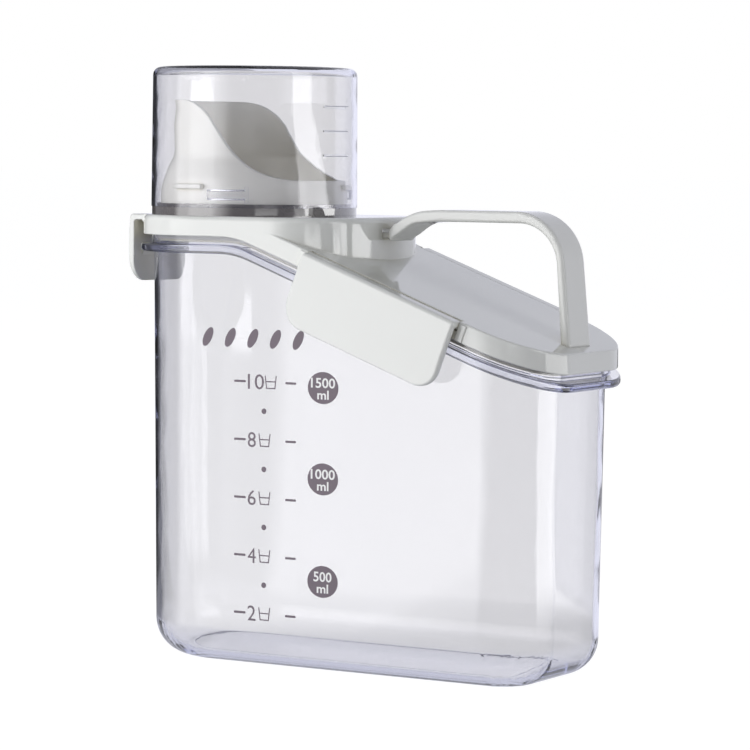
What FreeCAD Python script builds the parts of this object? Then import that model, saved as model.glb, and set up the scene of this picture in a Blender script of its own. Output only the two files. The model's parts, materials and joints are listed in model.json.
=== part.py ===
# A bulk food storage bin with a sloping lid, a pouring spout under a measuring cup,
# a carrying handle and three flip latches. Millimetres, +Z up. The origin lies on the
# table under the middle of the bin's overall box. +X points to the handle's foot,
# -X to the pouring end, and -Y to the front.
import FreeCAD
import Part
import math
import os

V = FreeCAD.Vector

# Bin: one clear moulding with a flange below an upright lip
rim_length = 208.0          # over the flange, along X
rim_width = 95.0            # over the flange, along Y; the pouring end is a half circle of this width
rim_corner_radius = 31.0    # plan radius of the two corners at the handle end
rim_underside = 169.5       # underside of the flange over the table, on the level stretch
level_length = 67.5         # from the flange's left tip to where the rim starts to fall
slope_angle = 20.4          # degrees below level
knee_radius = 40.0          # bend between the level and the sloping stretch
flange_thickness = 3.6
flange_overhang = 5.6       # flange edge beyond the outer wall
flange_round = 1.2
wall_thickness = 1.9
floor_thickness = 2.6
wall_draft = 2.0            # how far each wall leans in at the floor
bottom_radius = 15.0        # outside, between walls and floor
lip_setback = 4.1           # flange edge to the lip's outer face
lip_thickness = 2.0
lip_height = 5.6            # over the flange
join_depth = 1.0            # how far a solid runs past a face where it is joined or cut

# Lid: shell with a skirt, a raised level platform and a plug that holds the gasket
lid_inset = 1.1             # lid face behind the flange edge
skirt_gap = 3.5             # flange top to the skirt's lower edge
skirt_height = 8.2
skirt_thickness = 2.4
top_thickness = 2.2
platform_length = 112.6     # from the lid's left edge to the platform's end wall
platform_end_radius = 110.0 # slight bow of the end wall
platform_corner_radius = 31.0
platform_round = 2.4
crease_round = 0.8          # outer edge of the sloping top
plug_clearance = 0.5        # lip to plug
plug_thickness = 2.0
plug_over_flange = 0.9      # the plug stops this far above the flange
gasket_clearance = 0.1      # lip to gasket
gasket_height = 2.8
gasket_over_plug_end = 1.0
groove_depth = 1.0

# Pouring spout: collar, flared foot and a scoop cut by an S-shaped curve
collar_setback = 4.2        # cup's rim to the collar, in radius
spout_setback = 5.4         # collar to the tube
neck_setback = 3.0          # collar to the neck
spout_wall = 1.8
collar_height = 7.2
collar_extra_wall = 0.4     # the collar is this much thicker than the tube
flare_height = 28.2         # where the flare has run out into the tube
flare_start = (0.12, 0.3)   # share of the flare's lean reached at this share of its height
flare_middle = (0.66, 0.66)
scoop_height = 47.6         # tall lip over the lid
scoop_low = 14.6            # low lip over the lid
scoop_start = 19.8          # the tall lip stays level to this far before the axis
scoop_angle = 55.0
scoop_crest_radius = 20.0
scoop_foot_radius = 36.0
scoop_turn = 6.0            # the scoop looks this far round from +X, seen from above
neck_wall = 1.8
neck_below = 5.8            # how far the neck reaches below the lid's top
bead_height = 1.6
bead_reach = 0.8
bead_count = 4
bead_angle = 24.0

# Bayonet between spout and measuring cup
lug_count = 3
lug_angle = 24.0
lug_height = 4.1
lug_reach = 1.6
lug_round = 1.2
lug_over_rim = 3.2          # cup rim to the lug's lower face
lug_direction = 287.0       # middle of the first lug seen from above, from +X
stop_angle = 2.0
stop_extra = 1.2
catch_angle = 22.0
catch_gap_angle = 5.0
catch_clearance = 0.3
catch_height = 1.8
catch_reach = 1.6           # beyond the collar

# Silicone ring under the cup
seal_clearance = 0.3        # to the collar
seal_setback = 0.3          # ring behind the cup's rim
seal_height = 3.4
seal_upstand_width = 1.6
seal_upstand = 1.4

# Measuring cup, upside down on the ring
cup_setback = 4.3           # flange edge to the cup's rim, seen from above
cup_taper = 0.4             # the cup's base is this much smaller in radius than its rim
cup_height = 58.0
cup_wall = 1.8
cup_base_thickness = 3.0
cup_corner_radius = 3.4
cup_inner_corner_radius = 2.0
mark_depths = (13.6, 23.4, 33.3)    # raised marks below the cup's inner base
mark_width_angle = 20.0
mark_height = 0.7
mark_relief = 0.4
mark_direction = 355.0

# Handle: strap from the platform's end wall to the foot of the slope
handle_width = 19.0
handle_rise = 3.6           # top of the strap over the platform
handle_thickness = 4.7
handle_reach = 149.0        # cup's axis to the leg's outer face, produced up to the strap's top
leg_outer_lean = 5.6        # degrees
leg_inner_lean = 4.2
leg_thickness = 3.0         # at the strap's underside, growing downwards
leg_run = 20.0              # the leg is drawn this far below the lid before it is trimmed
handle_bend_radius = 22.0
root_gap = 4.2              # end wall to the strap's full width
root_drop = 7.1             # strap top at the root below its level stretch
root_angle = 44.0           # the strap's top leaves the root at this angle
root_top_radius = 25.0      # from the root to the level stretch
root_depth = 5.9            # of the root's end
root_heel = 6.5             # the root's underside stays level for this far
root_heel_radius = 7.0
root_under_run = 19.5       # root to the level underside
root_under_radius = 15.0
root_end_round = 1.6
strap_round = 1.4
neck_width = 12.0
neck_inset = 1.1            # below the top of the root's end
neck_height = 3.8
foot_width = 12.0
foot_thickness = 2.4
tang_reach = 3.0            # past the inside of the lid
barb_reach = 0.9
barb_length = 1.6

# Flip latches: knuckle in a pocket of the lid, arm, plate and hook
latch_gap = 1.3             # flange edge to the plate's inner face
plate_thickness = 2.5
plate_bow = 0.4
plate_foot_draft = 0.5
arm_thickness = 2.4
axis_drop = 2.0             # hinge axis below the lid's top
axis_inset = 1.2            # hinge axis behind the lid's face
knuckle_radius = 1.8
shoulder_radius = 1.7
armpit_radius = 1.0
pin_radius = 0.8
pin_length = 1.8
pin_clearance = 0.06
pin_end_clearance = 0.3
pocket_end_clearance = 0.3
pocket_back_clearance = 0.35
pocket_floor_clearance = 0.3
pocket_floor = 1.3
pocket_wall = 1.5
hinge_block_end = 3.4
hinge_pad_rise = 0.35       # the pads beside a side latch stand this proud of the skirt
hook_reach = 1.1
hook_height = 3.2
hook_clearance = 0.15       # below the flange at rest
hook_margin = 6.0           # hook ends short of the latch's ends
hook_sink = 0.5             # how far the hook's root runs into the plate
latch_corner_radius = 9.0
latch_top_radius = 1.0
latch_edge_round = 1.0
side_latch_width = 74.0
side_latch_length = 30.0
end_latch_width = 36.0
end_latch_length = 28.4
end_axis_inset = 3.3        # hinge axis inside the lid's left edge
end_ear = 6.0               # the end latch hangs on two ears of this width
end_arm_clearance = 0.5     # lid's round edge to the arm between the ears

# Derived places
latch_overhang = latch_gap + plate_thickness + plate_bow
rim_centre_x = latch_overhang / 2.0
rim_left = rim_centre_x - rim_length / 2.0
rim_right = rim_centre_x + rim_length / 2.0
cup_x = rim_left + rim_width / 2.0
knee_x = rim_left + level_length
slope = math.radians(slope_angle)
flange_top = rim_underside + flange_thickness
lip_top = flange_top + lip_height
skirt_bottom = flange_top + skirt_gap
lid_top = skirt_bottom + skirt_height
lid_left = rim_left + lid_inset
platform_end = lid_left + platform_length
cup_rim = lid_top + seal_height
cup_top = cup_rim + cup_height
cup_rim_radius = rim_width / 2.0 - cup_setback
cup_base_radius = cup_rim_radius - cup_taper
seal_radius = cup_rim_radius - seal_setback
collar_radius = cup_rim_radius - collar_setback
neck_radius = collar_radius - neck_setback
spout_radius = collar_radius - spout_setback
reach = 2.0 * rim_length    # half size of the tools used for cutting


def arc(start, middle, end):
    """Circular edge through three points."""
    return Part.Arc(start, middle, end).toShape()


def line(start, end):
    """Straight edge."""
    return Part.makeLine(start, end)


def rim_outline(inset, z):
    """Plan outline of the rim at height z, moved inwards by inset."""
    half = rim_width / 2.0 - inset
    radius = rim_corner_radius - inset
    right = rim_right - inset
    corner_x = right - radius
    corner_y = half - radius
    bend = radius * math.sqrt(0.5)
    edges = [
        arc(V(cup_x, half, z), V(cup_x - half, 0, z), V(cup_x, -half, z)),
        line(V(cup_x, -half, z), V(corner_x, -half, z)),
        arc(V(corner_x, -half, z), V(corner_x + bend, -corner_y - bend, z), V(right, -corner_y, z)),
        line(V(right, -corner_y, z), V(right, corner_y, z)),
        arc(V(right, corner_y, z), V(corner_x + bend, corner_y + bend, z), V(corner_x, half, z)),
        line(V(corner_x, half, z), V(cup_x, half, z)),
    ]
    return Part.Wire(edges)


def prism(wire, bottom, top):
    """Upright solid on a plan outline drawn at z = 0."""
    solid = Part.Face(wire).extrude(V(0, 0, top - bottom))
    solid.translate(V(0, 0, bottom))
    return solid


def rim_prism(inset):
    """Tall upright solid on the rim outline."""
    return prism(rim_outline(inset, 0.0), 0.0, lid_top + reach)


def fall_profile(level):
    """Edges of the side profile that is level at the left and slopes down to the right."""
    run = knee_radius * math.tan(slope / 2.0)
    start = V(knee_x - run, 0, level)
    end = V(knee_x + run * math.cos(slope), 0, level - run * math.sin(slope))
    middle = V(
        start.x + knee_radius * math.sin(slope / 2.0),
        0,
        level - knee_radius + knee_radius * math.cos(slope / 2.0),
    )
    far = V(rim_right + reach, 0, level - (rim_right + reach - knee_x) * math.tan(slope))
    near = V(rim_left - reach, 0, level)
    return [line(near, start), arc(start, middle, end), line(end, far)], near, far


def slab(low, high):
    """Solid between two falling side profiles, level at low and high on the left."""
    low_edges, low_near, low_far = fall_profile(low)
    high_edges, high_near, high_far = fall_profile(high)
    edges = high_edges + [line(high_far, low_far)] + low_edges + [line(low_near, high_near)]
    face = Part.Face(Part.Wire(Part.__sortEdges__(edges)))
    solid = face.extrude(V(0, 2.0 * reach, 0))
    solid.translate(V(0, -reach, 0))
    return solid


def ring_slab(outer_inset, inner_inset, low, high):
    """Band between two rim outlines and two falling profiles."""
    band = rim_prism(outer_inset).cut(rim_prism(inner_inset))
    return band.common(slab(low, high))


def surface_drop(x, level):
    """Height of a falling profile at x, clear of the knee."""
    return level - max(0.0, x - knee_x) * math.tan(slope)


def tidy(shape):
    """One clean solid out of a boolean result."""
    return shape.removeSplitter().Solids[0]


def write(name, shape):
    """Write one node and print its size."""
    box = shape.BoundBox
    print("%-14s volume %9.1f solids %d valid %s box %.1f %.1f %.1f to %.1f %.1f %.1f" % (
        name, shape.Volume, len(shape.Solids), shape.isValid(),
        box.XMin, box.YMin, box.ZMin, box.XMax, box.YMax, box.ZMax))
    shape.exportStep("parts/%s.step" % name)


def wall_inset(z):
    """Outer wall's inset from the flange edge at height z."""
    return flange_overhang + wall_draft * (1.0 - z / flange_top)


def tapered(extra, bottom):
    """Drafted solid that follows the walls, extra further in, from bottom to the flange's top."""
    low = rim_outline(wall_inset(bottom) + extra, bottom)
    high = rim_outline(flange_overhang + extra, flange_top)
    solid = Part.makeLoft([low, high], True, True)
    edges = [edge for edge in solid.Edges if edge.BoundBox.ZMax < bottom + 0.01]
    return solid.makeFillet(bottom_radius - extra, edges)


def outer_rim_edges(solid, inset):
    """Edges of a solid that run along the rim outline of this inset."""
    half = rim_width / 2.0 - inset
    found = []
    for edge in solid.Edges:
        point = edge.valueAt((edge.FirstParameter + edge.LastParameter) / 2.0)
        on_side = abs(abs(point.y) - half) < 0.01
        on_left = abs(math.hypot(point.x - cup_x, point.y) - half) < 0.01 and point.x < cup_x
        radius = rim_corner_radius - inset
        centre_x = rim_right - inset - radius
        corner = math.hypot(point.x - centre_x, abs(point.y) - (half - radius))
        on_corner = abs(corner - radius) < 0.01 and point.x > centre_x
        on_right = abs(point.x - (rim_right - inset)) < 0.01
        if not (on_side or on_left or on_corner or on_right):
            continue
        ends = [vertex.Point for vertex in edge.Vertexes]
        upright = abs(ends[0].x - ends[-1].x) < 0.001 and abs(ends[0].y - ends[-1].y) < 0.001
        if upright and abs(ends[0].z - ends[-1].z) > 0.001:
            continue
        found.append(edge)
    return found


def make_bin():
    """Clear bin: drafted shell, flange and upright lip."""
    body = tapered(0.0, 0.0).common(slab(-reach, flange_top - 0.01))
    flange = rim_prism(0.0).common(slab(rim_underside, flange_top))
    flange = flange.makeFillet(flange_round, outer_rim_edges(flange, 0.0))
    lip = rim_prism(lip_setback).common(slab(flange_top - join_depth, lip_top))
    hollow = tapered(wall_thickness, floor_thickness)
    mouth = rim_prism(lip_setback + lip_thickness).common(slab(flange_top, lip_top + join_depth))
    shell = body.fuse([flange, lip]).cut(hollow).cut(mouth)
    return tidy(shell)


def platform_outline(inset):
    """Plan outline of the raised platform: lid outline at the left, bowed end wall at the right."""
    half = rim_width / 2.0 - lid_inset - inset
    radius = platform_corner_radius - inset
    corner_y = half - radius
    bow_radius = platform_end_radius - inset
    end = platform_end - inset
    bow_centre = end - bow_radius
    # the corner circle touches the straight side and, from inside, the bowed end
    corner_x = bow_centre + math.sqrt((bow_radius - radius) ** 2 - corner_y ** 2)
    lean = math.atan2(corner_y, corner_x - bow_centre)
    touch = V(bow_centre + bow_radius * math.cos(lean), bow_radius * math.sin(lean), 0)
    mid_angle = (lean + math.pi / 2.0) / 2.0
    mid = V(corner_x + radius * math.cos(mid_angle), corner_y + radius * math.sin(mid_angle), 0)
    edges = [
        arc(V(cup_x, half, 0), V(cup_x - half, 0, 0), V(cup_x, -half, 0)),
        line(V(cup_x, -half, 0), V(corner_x, -half, 0)),
        arc(V(corner_x, -half, 0), V(mid.x, -mid.y, 0), V(touch.x, -touch.y, 0)),
        arc(V(touch.x, -touch.y, 0), V(end, 0, 0), touch),
        arc(touch, mid, V(corner_x, half, 0)),
        line(V(corner_x, half, 0), V(cup_x, half, 0)),
    ]
    return Part.Wire(edges)


def lid_solid(inset, drop):
    """Filled lid down to the table, inset sideways and dropped from its top."""
    top = lid_top - drop
    sloping = rim_prism(lid_inset + inset).common(slab(-reach, top))
    platform = prism(platform_outline(inset), 0.0, top)
    return sloping.fuse(platform).removeSplitter()


def rounded_lid():
    """Filled lid with its platform's rim and the outer edge of its slope rounded."""
    sloping = rim_prism(lid_inset).common(slab(-reach, lid_top))
    slope_edges = [edge for edge in outer_rim_edges(sloping, lid_inset) if edge.BoundBox.ZMin > 0.01]
    sloping = sloping.makeFillet(crease_round, slope_edges)
    platform = prism(platform_outline(0.0), 0.0, lid_top)
    rim_edges = [edge for edge in platform.Edges if edge.BoundBox.ZMin > lid_top - 0.01]
    platform = platform.makeFillet(platform_round, rim_edges)
    above = Part.makeBox(
        reach, reach, reach, V(rim_left - reach / 2.0, -reach / 2.0, lid_top - platform_round))
    return sloping.cut(above).fuse(platform).removeSplitter()


def latch_frames():
    """Placement of each latch: hinge axis as X, outwards as Y, away from the lid's top as Z."""
    middle_x = (knee_x + rim_right) / 2.0
    along = V(math.cos(slope), 0, -math.sin(slope))
    normal = V(math.sin(slope), 0, math.cos(slope))
    face_y = rim_width / 2.0 - lid_inset
    top = V(middle_x, 0, surface_drop(middle_x, lid_top)) - normal * axis_drop
    end_origin = V(lid_left + end_axis_inset, 0, lid_top - axis_drop)
    return {
        "front_latch": (top + V(0, -(face_y - axis_inset), 0), along * -1.0, V(0, -1, 0), normal),
        "back_latch": (top + V(0, face_y - axis_inset, 0), along, V(0, 1, 0), normal),
        "end_latch": (end_origin, V(0, 1, 0), V(-1, 0, 0), V(0, 0, 1)),
    }


def place(shape, frame):
    """Move a shape from a latch's own frame into the model's."""
    origin, x_axis, y_axis, z_axis = frame
    matrix = FreeCAD.Matrix(
        x_axis.x, y_axis.x, z_axis.x, origin.x,
        x_axis.y, y_axis.y, z_axis.y, origin.y,
        x_axis.z, y_axis.z, z_axis.z, origin.z,
        0, 0, 0, 1)
    moved = shape.copy()
    moved.Placement = FreeCAD.Placement(matrix)
    return moved


def block(x_half, y_low, y_high, z_low, z_high):
    """Box that is centred in X."""
    return Part.makeBox(2.0 * x_half, y_high - y_low, z_high - z_low, V(-x_half, y_low, z_low))


def rod(radius, x_low, x_high):
    """Cylinder about the X axis."""
    return Part.makeCylinder(radius, x_high - x_low, V(x_low, 0, 0), V(1, 0, 0))


def hinge_block(width):
    """Solid part of the lid round a latch's pocket, in the latch's frame."""
    pocket_half = width / 2.0 + pocket_end_clearance
    back = knuckle_radius + pocket_back_clearance + pocket_wall
    floor = knuckle_radius + pocket_floor_clearance + pocket_floor
    return block(pocket_half + hinge_block_end, -back, reach, -floor, axis_drop)


def hinge_pads(width):
    """Pads that stand proud of the skirt beside a side latch, in the latch's frame."""
    near = width / 2.0 + pocket_end_clearance
    low = axis_drop - skirt_height * math.cos(slope)
    high = axis_drop - crease_round
    proud = axis_inset + hinge_pad_rise
    pads = []
    for left in (-near - hinge_block_end, near):
        pads.append(Part.makeBox(hinge_block_end, proud, high - low, V(left, 0, low)))
    return pads


def hinge_pocket(width, ear):
    """Room for a latch's knuckles and pins, in the latch's frame; ear is 0 for one long knuckle."""
    pocket_half = width / 2.0 + pocket_end_clearance
    back = knuckle_radius + pocket_back_clearance
    floor = knuckle_radius + pocket_floor_clearance
    room = block(pocket_half, -back, reach, -floor, reach)
    bore = pin_radius + pin_clearance
    depth = pin_length + pin_end_clearance
    if ear <= 0.0:
        return room.fuse(rod(bore, -width / 2.0 - depth, width / 2.0 + depth))
    between = width / 2.0 - ear
    post = block(between - pocket_end_clearance, -reach, 2.0 * reach, -reach, 2.0 * reach)
    left_bore = rod(bore, -between, -between + depth)
    right_bore = rod(bore, between - depth, between)
    return room.cut(post).fuse([left_bore, right_bore])


def latch_width(name):
    """Width of a latch along its hinge."""
    return end_latch_width if name == "end_latch" else side_latch_width


def latch_ear(name):
    """Width of a latch's two ears, or 0 where one knuckle runs from end to end."""
    return end_ear if name == "end_latch" else 0.0


def handle_slots():
    """Openings in the lid that the handle's two tangs fill."""
    neck, foot = handle_tangs()
    return [neck, foot]


def handle_tangs():
    """Straight shanks of the handle where they pass through the lid."""
    neck_top = lid_top + handle_rise - root_drop - neck_inset
    neck = Part.makeBox(
        root_gap + top_thickness + tang_reach, neck_width, neck_height,
        V(platform_end - top_thickness - tang_reach, -neck_width / 2.0, neck_top - neck_height))
    foot_x, foot_z = leg_foot()
    foot = Part.makeBox(
        foot_thickness, foot_width, 2.0 * (top_thickness + tang_reach),
        V(foot_x - foot_thickness / 2.0, -foot_width / 2.0, foot_z - top_thickness - tang_reach))
    return neck, foot


def leg_outer_x(z):
    """Outer face of the handle's leg at height z."""
    drop = lid_top + handle_rise - z
    return cup_x + handle_reach + drop * math.tan(math.radians(leg_outer_lean))


def leg_inner_x(z):
    """Inner face of the handle's leg at height z."""
    under = lid_top + handle_rise - handle_thickness
    return leg_outer_x(under) - leg_thickness + (under - z) * math.tan(math.radians(leg_inner_lean))


def leg_foot():
    """Middle of the leg where it meets the sloping top."""
    z = lid_top
    for _ in range(20):
        x = (leg_outer_x(z) + leg_inner_x(z)) / 2.0
        z = surface_drop(x, lid_top)
    return x, z


def rounded_path(points, radii):
    """Closed wire through points in the XZ plane, each corner rounded by its radius."""
    edges = []
    count = len(points)
    cuts = []
    for index in range(count):
        here = points[index]
        before = (points[index - 1] - here).normalize()
        after = (points[(index + 1) % count] - here).normalize()
        radius = radii[index]
        if radius <= 0.0:
            cuts.append((here, None, here))
            continue
        half = before.getAngle(after) / 2.0
        run = radius / math.tan(half)
        middle_way = (before + after).normalize()
        centre = here + middle_way * (radius / math.sin(half))
        cuts.append((here + before * run, centre - middle_way * radius, here + after * run))
    for index in range(count):
        start, middle, end = cuts[index]
        if middle is not None:
            edges.append(arc(start, middle, end))
        following = cuts[(index + 1) % count][0]
        if (following - end).Length > 0.001:
            edges.append(line(end, following))
    return Part.Wire(edges)


def make_handle():
    """Strap handle with a neck into the end wall and a foot through the sloping top."""
    top = lid_top + handle_rise
    root_x = platform_end + root_gap
    under = top - handle_thickness
    foot_x, foot_z = leg_foot()
    below = foot_z - leg_run
    heel = top - root_drop - root_depth
    points = [
        V(root_x, 0, top - root_drop),
        V(root_x + root_drop / math.tan(math.radians(root_angle)), 0, top),
        V(leg_outer_x(top), 0, top),
        V(leg_outer_x(below), 0, below),
        V(leg_inner_x(below), 0, below),
        V(leg_inner_x(under), 0, under),
        V(root_x + root_under_run, 0, under),
        V(root_x + root_heel, 0, heel),
        V(root_x, 0, heel),
    ]
    inner_bend = handle_bend_radius - handle_thickness
    radii = [
        0.0, root_top_radius, handle_bend_radius, 0.0, 0.0, inner_bend,
        root_under_radius, root_heel_radius, root_end_round]
    profile = rounded_path(points, radii)
    strap = Part.Face(profile).extrude(V(0, handle_width, 0))
    strap.translate(V(0, -handle_width / 2.0, 0))
    side_edges = []
    for edge in strap.Edges:
        box = edge.BoundBox
        on_side = box.YMax - box.YMin < 0.01
        if on_side and box.ZMax > below + 0.01:
            side_edges.append(edge)
    strap = strap.makeFillet(strap_round, side_edges)
    strap = strap.cut(slab(-reach, lid_top))
    neck, foot = handle_tangs()
    neck_barb = Part.makeBox(
        barb_length, neck_width, barb_reach,
        V(platform_end - top_thickness - barb_length, -neck_width / 2.0,
          neck.BoundBox.ZMin - barb_reach))
    foot_barb = Part.makeBox(
        barb_reach, foot_width, barb_length,
        V(foot_x - foot_thickness / 2.0 - barb_reach, -foot_width / 2.0,
          foot_z - top_thickness / math.cos(slope) - 2.0 * barb_length))
    return tidy(strap.fuse([neck, foot, neck_barb, foot_barb]))


def make_lid():
    """Lid shell: skirt, sloping top, platform, plug and the seats of the parts it carries."""
    filled = rounded_lid()
    inside = lid_solid(skirt_thickness, top_thickness)
    skirt = filled.cut(inside).cut(slab(-reach, skirt_bottom))
    plug_outer = lip_setback + lip_thickness + plug_clearance
    plug_low = flange_top + plug_over_flange
    band = rim_prism(plug_outer).cut(rim_prism(plug_outer + plug_thickness))
    plug = band.common(filled).cut(slab(-reach, plug_low))
    groove_low = plug_low + gasket_over_plug_end
    groove = ring_slab(plug_outer - 0.1, plug_outer + groove_depth, groove_low, groove_low + gasket_height)
    plug = plug.cut(groove)
    parts = [plug]
    frames = latch_frames()
    for name, frame in frames.items():
        parts.append(place(hinge_block(latch_width(name)), frame).common(filled))
        if latch_ear(name) <= 0.0:
            parts += [place(pad, frame) for pad in hinge_pads(latch_width(name))]
    lid = skirt.fuse(parts)
    for name, frame in frames.items():
        lid = lid.cut(place(hinge_pocket(latch_width(name), latch_ear(name)), frame))
    lid = lid.cut(Part.makeCylinder(neck_radius, reach, V(cup_x, 0, lid_top - reach / 2.0)))
    for slot in handle_slots():
        lid = lid.cut(slot)
    return tidy(lid)


def make_gasket():
    """Silicone gasket in the plug's groove."""
    plug_outer = lip_setback + lip_thickness + plug_clearance
    low = flange_top + plug_over_flange + gasket_over_plug_end
    outer = lip_setback + lip_thickness + gasket_clearance
    return tidy(ring_slab(outer, plug_outer + groove_depth, low, low + gasket_height))


def revolve(points_and_arcs):
    """Solid of revolution about the cup's axis from edges in the XZ plane, X as radius."""
    face = Part.Face(Part.Wire(points_and_arcs))
    solid = face.revolve(V(0, 0, 0), V(0, 0, 1), 360.0)
    solid.translate(V(cup_x, 0, 0))
    return solid


def polyline(points):
    """Straight edges through points."""
    return [line(points[index], points[index + 1]) for index in range(len(points) - 1)]


def sector(inner, outer, low, high, middle_angle, width_angle):
    """Piece of a ring about the cup's axis."""
    ring = Part.makeCylinder(outer, high - low, V(0, 0, low), V(0, 0, 1), width_angle)
    ring = ring.cut(Part.makeCylinder(inner, high - low, V(0, 0, low)))
    ring.rotate(V(0, 0, 0), V(0, 0, 1), middle_angle - width_angle / 2.0)
    ring.translate(V(cup_x, 0, 0))
    return ring


def flare(outer_low, outer_high, low, high):
    """Edge that leans from one radius to a smaller one, upright at both ends."""
    points = [V(outer_low, 0, low)]
    for lean, rise in (flare_start, flare_middle):
        points.append(V(outer_low - lean * (outer_low - outer_high), 0, low + rise * (high - low)))
    points.append(V(outer_high, 0, high))
    curve = Part.BSplineCurve()
    curve.interpolate(Points=points, InitialTangent=V(0, 0, 1), FinalTangent=V(0, 0, 1))
    return curve.toShape()


def rounded_lug(outer, low, middle_angle, width_angle):
    """Bar on the cup's inside whose inner edges are rounded, about the cup's axis."""
    inner = outer - lug_reach - cup_wall / 2.0
    high = low + lug_height
    section = rounded_path(
        [V(outer, 0, low), V(inner, 0, low), V(inner, 0, high), V(outer, 0, high)],
        [0.0, lug_round, lug_round, 0.0])
    bar = Part.Face(section).revolve(V(0, 0, 0), V(0, 0, 1), width_angle)
    bar.rotate(V(0, 0, 0), V(0, 0, 1), middle_angle - width_angle / 2.0)
    bar.translate(V(cup_x, 0, 0))
    return bar


def scoop_cutter():
    """Everything above the scoop's S-shaped edge."""
    angle = math.radians(scoop_angle)
    high = lid_top + scoop_height
    low = lid_top + scoop_low
    start_x = cup_x - scoop_start
    crest_end = V(
        start_x + scoop_crest_radius * math.sin(angle), 0,
        high - scoop_crest_radius * (1.0 - math.cos(angle)))
    crest_mid = V(
        start_x + scoop_crest_radius * math.sin(angle / 2.0), 0,
        high - scoop_crest_radius * (1.0 - math.cos(angle / 2.0)))
    foot_rise = scoop_foot_radius * (1.0 - math.cos(angle))
    drop = crest_end.z - low - foot_rise
    foot_start = V(crest_end.x + drop / math.tan(angle), 0, crest_end.z - drop)
    foot_end_x = foot_start.x + scoop_foot_radius * math.sin(angle)
    foot_mid = V(
        foot_end_x - scoop_foot_radius * math.sin(angle / 2.0), 0,
        low + scoop_foot_radius * (1.0 - math.cos(angle / 2.0)))
    far_left = V(cup_x - reach, 0, high)
    far_right = V(cup_x + reach, 0, low)
    roof_left = V(cup_x - reach, 0, high + reach)
    roof_right = V(cup_x + reach, 0, high + reach)
    edges = [
        line(far_left, V(start_x, 0, high)),
        arc(V(start_x, 0, high), crest_mid, crest_end),
        line(crest_end, foot_start),
        arc(foot_start, foot_mid, V(foot_end_x, 0, low)),
        line(V(foot_end_x, 0, low), far_right),
        line(far_right, roof_right),
        line(roof_right, roof_left),
        line(roof_left, far_left),
    ]
    solid = Part.Face(Part.Wire(edges)).extrude(V(0, 2.0 * reach, 0))
    solid.translate(V(0, -reach, 0))
    solid.rotate(V(cup_x, 0, 0), V(0, 0, 1), scoop_turn)
    return solid


def catch_span():
    """Height range of the bayonet catches."""
    low = cup_rim + lug_over_rim + lug_height + catch_clearance
    return low, low + catch_height


def make_spout():
    """Pouring spout with collar, flare, scoop, catches and the neck that snaps into the lid."""
    base = lid_top
    collar_top = base + collar_height
    flare_top = base + flare_height
    over = base + scoop_height + join_depth
    neck_low = base - neck_below
    inner_collar = collar_radius - spout_wall - collar_extra_wall
    outer_edges = polyline([
        V(neck_radius - neck_wall, 0, neck_low), V(neck_radius, 0, neck_low), V(neck_radius, 0, base),
        V(collar_radius, 0, base), V(collar_radius, 0, collar_top)])
    outer_edges.append(flare(collar_radius, spout_radius, collar_top, flare_top))
    outer_edges += polyline([
        V(spout_radius, 0, flare_top), V(spout_radius, 0, over), V(spout_radius - spout_wall, 0, over),
        V(spout_radius - spout_wall, 0, flare_top)])
    inner = flare(inner_collar, spout_radius - spout_wall, collar_top, flare_top)
    inner_edges = polyline([
        V(inner_collar, 0, collar_top), V(inner_collar, 0, base + 2.0 * neck_wall),
        V(neck_radius - neck_wall, 0, base + neck_wall / 2.0), V(neck_radius - neck_wall, 0, neck_low)])
    solid = revolve(Part.__sortEdges__(outer_edges + [inner] + inner_edges))
    solid = solid.cut(scoop_cutter())
    low, high = catch_span()
    step = 360.0 / lug_count
    catches = []
    for index in range(lug_count):
        middle = lug_direction + index * step - lug_angle / 2.0 - catch_gap_angle - catch_angle / 2.0
        catches.append(sector(
            collar_radius - spout_wall, collar_radius + catch_reach, low, high, middle, catch_angle))
    beads = []
    bead_top = base - top_thickness
    for index in range(bead_count):
        beads.append(sector(
            neck_radius - neck_wall / 2.0, neck_radius + bead_reach, bead_top - bead_height, bead_top,
            index * 360.0 / bead_count + 45.0, bead_angle))
    return tidy(solid.fuse(catches + beads))


def make_cup_seal():
    """Silicone ring: flat under the cup's rim, with an upstand inside it."""
    inner = collar_radius + seal_clearance
    upstand = inner + seal_upstand_width
    top = lid_top + seal_height
    return tidy(revolve(polyline([
        V(inner, 0, lid_top), V(seal_radius, 0, lid_top), V(seal_radius, 0, top), V(upstand, 0, top),
        V(upstand, 0, top + seal_upstand), V(inner, 0, top + seal_upstand), V(inner, 0, lid_top)])))


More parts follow.
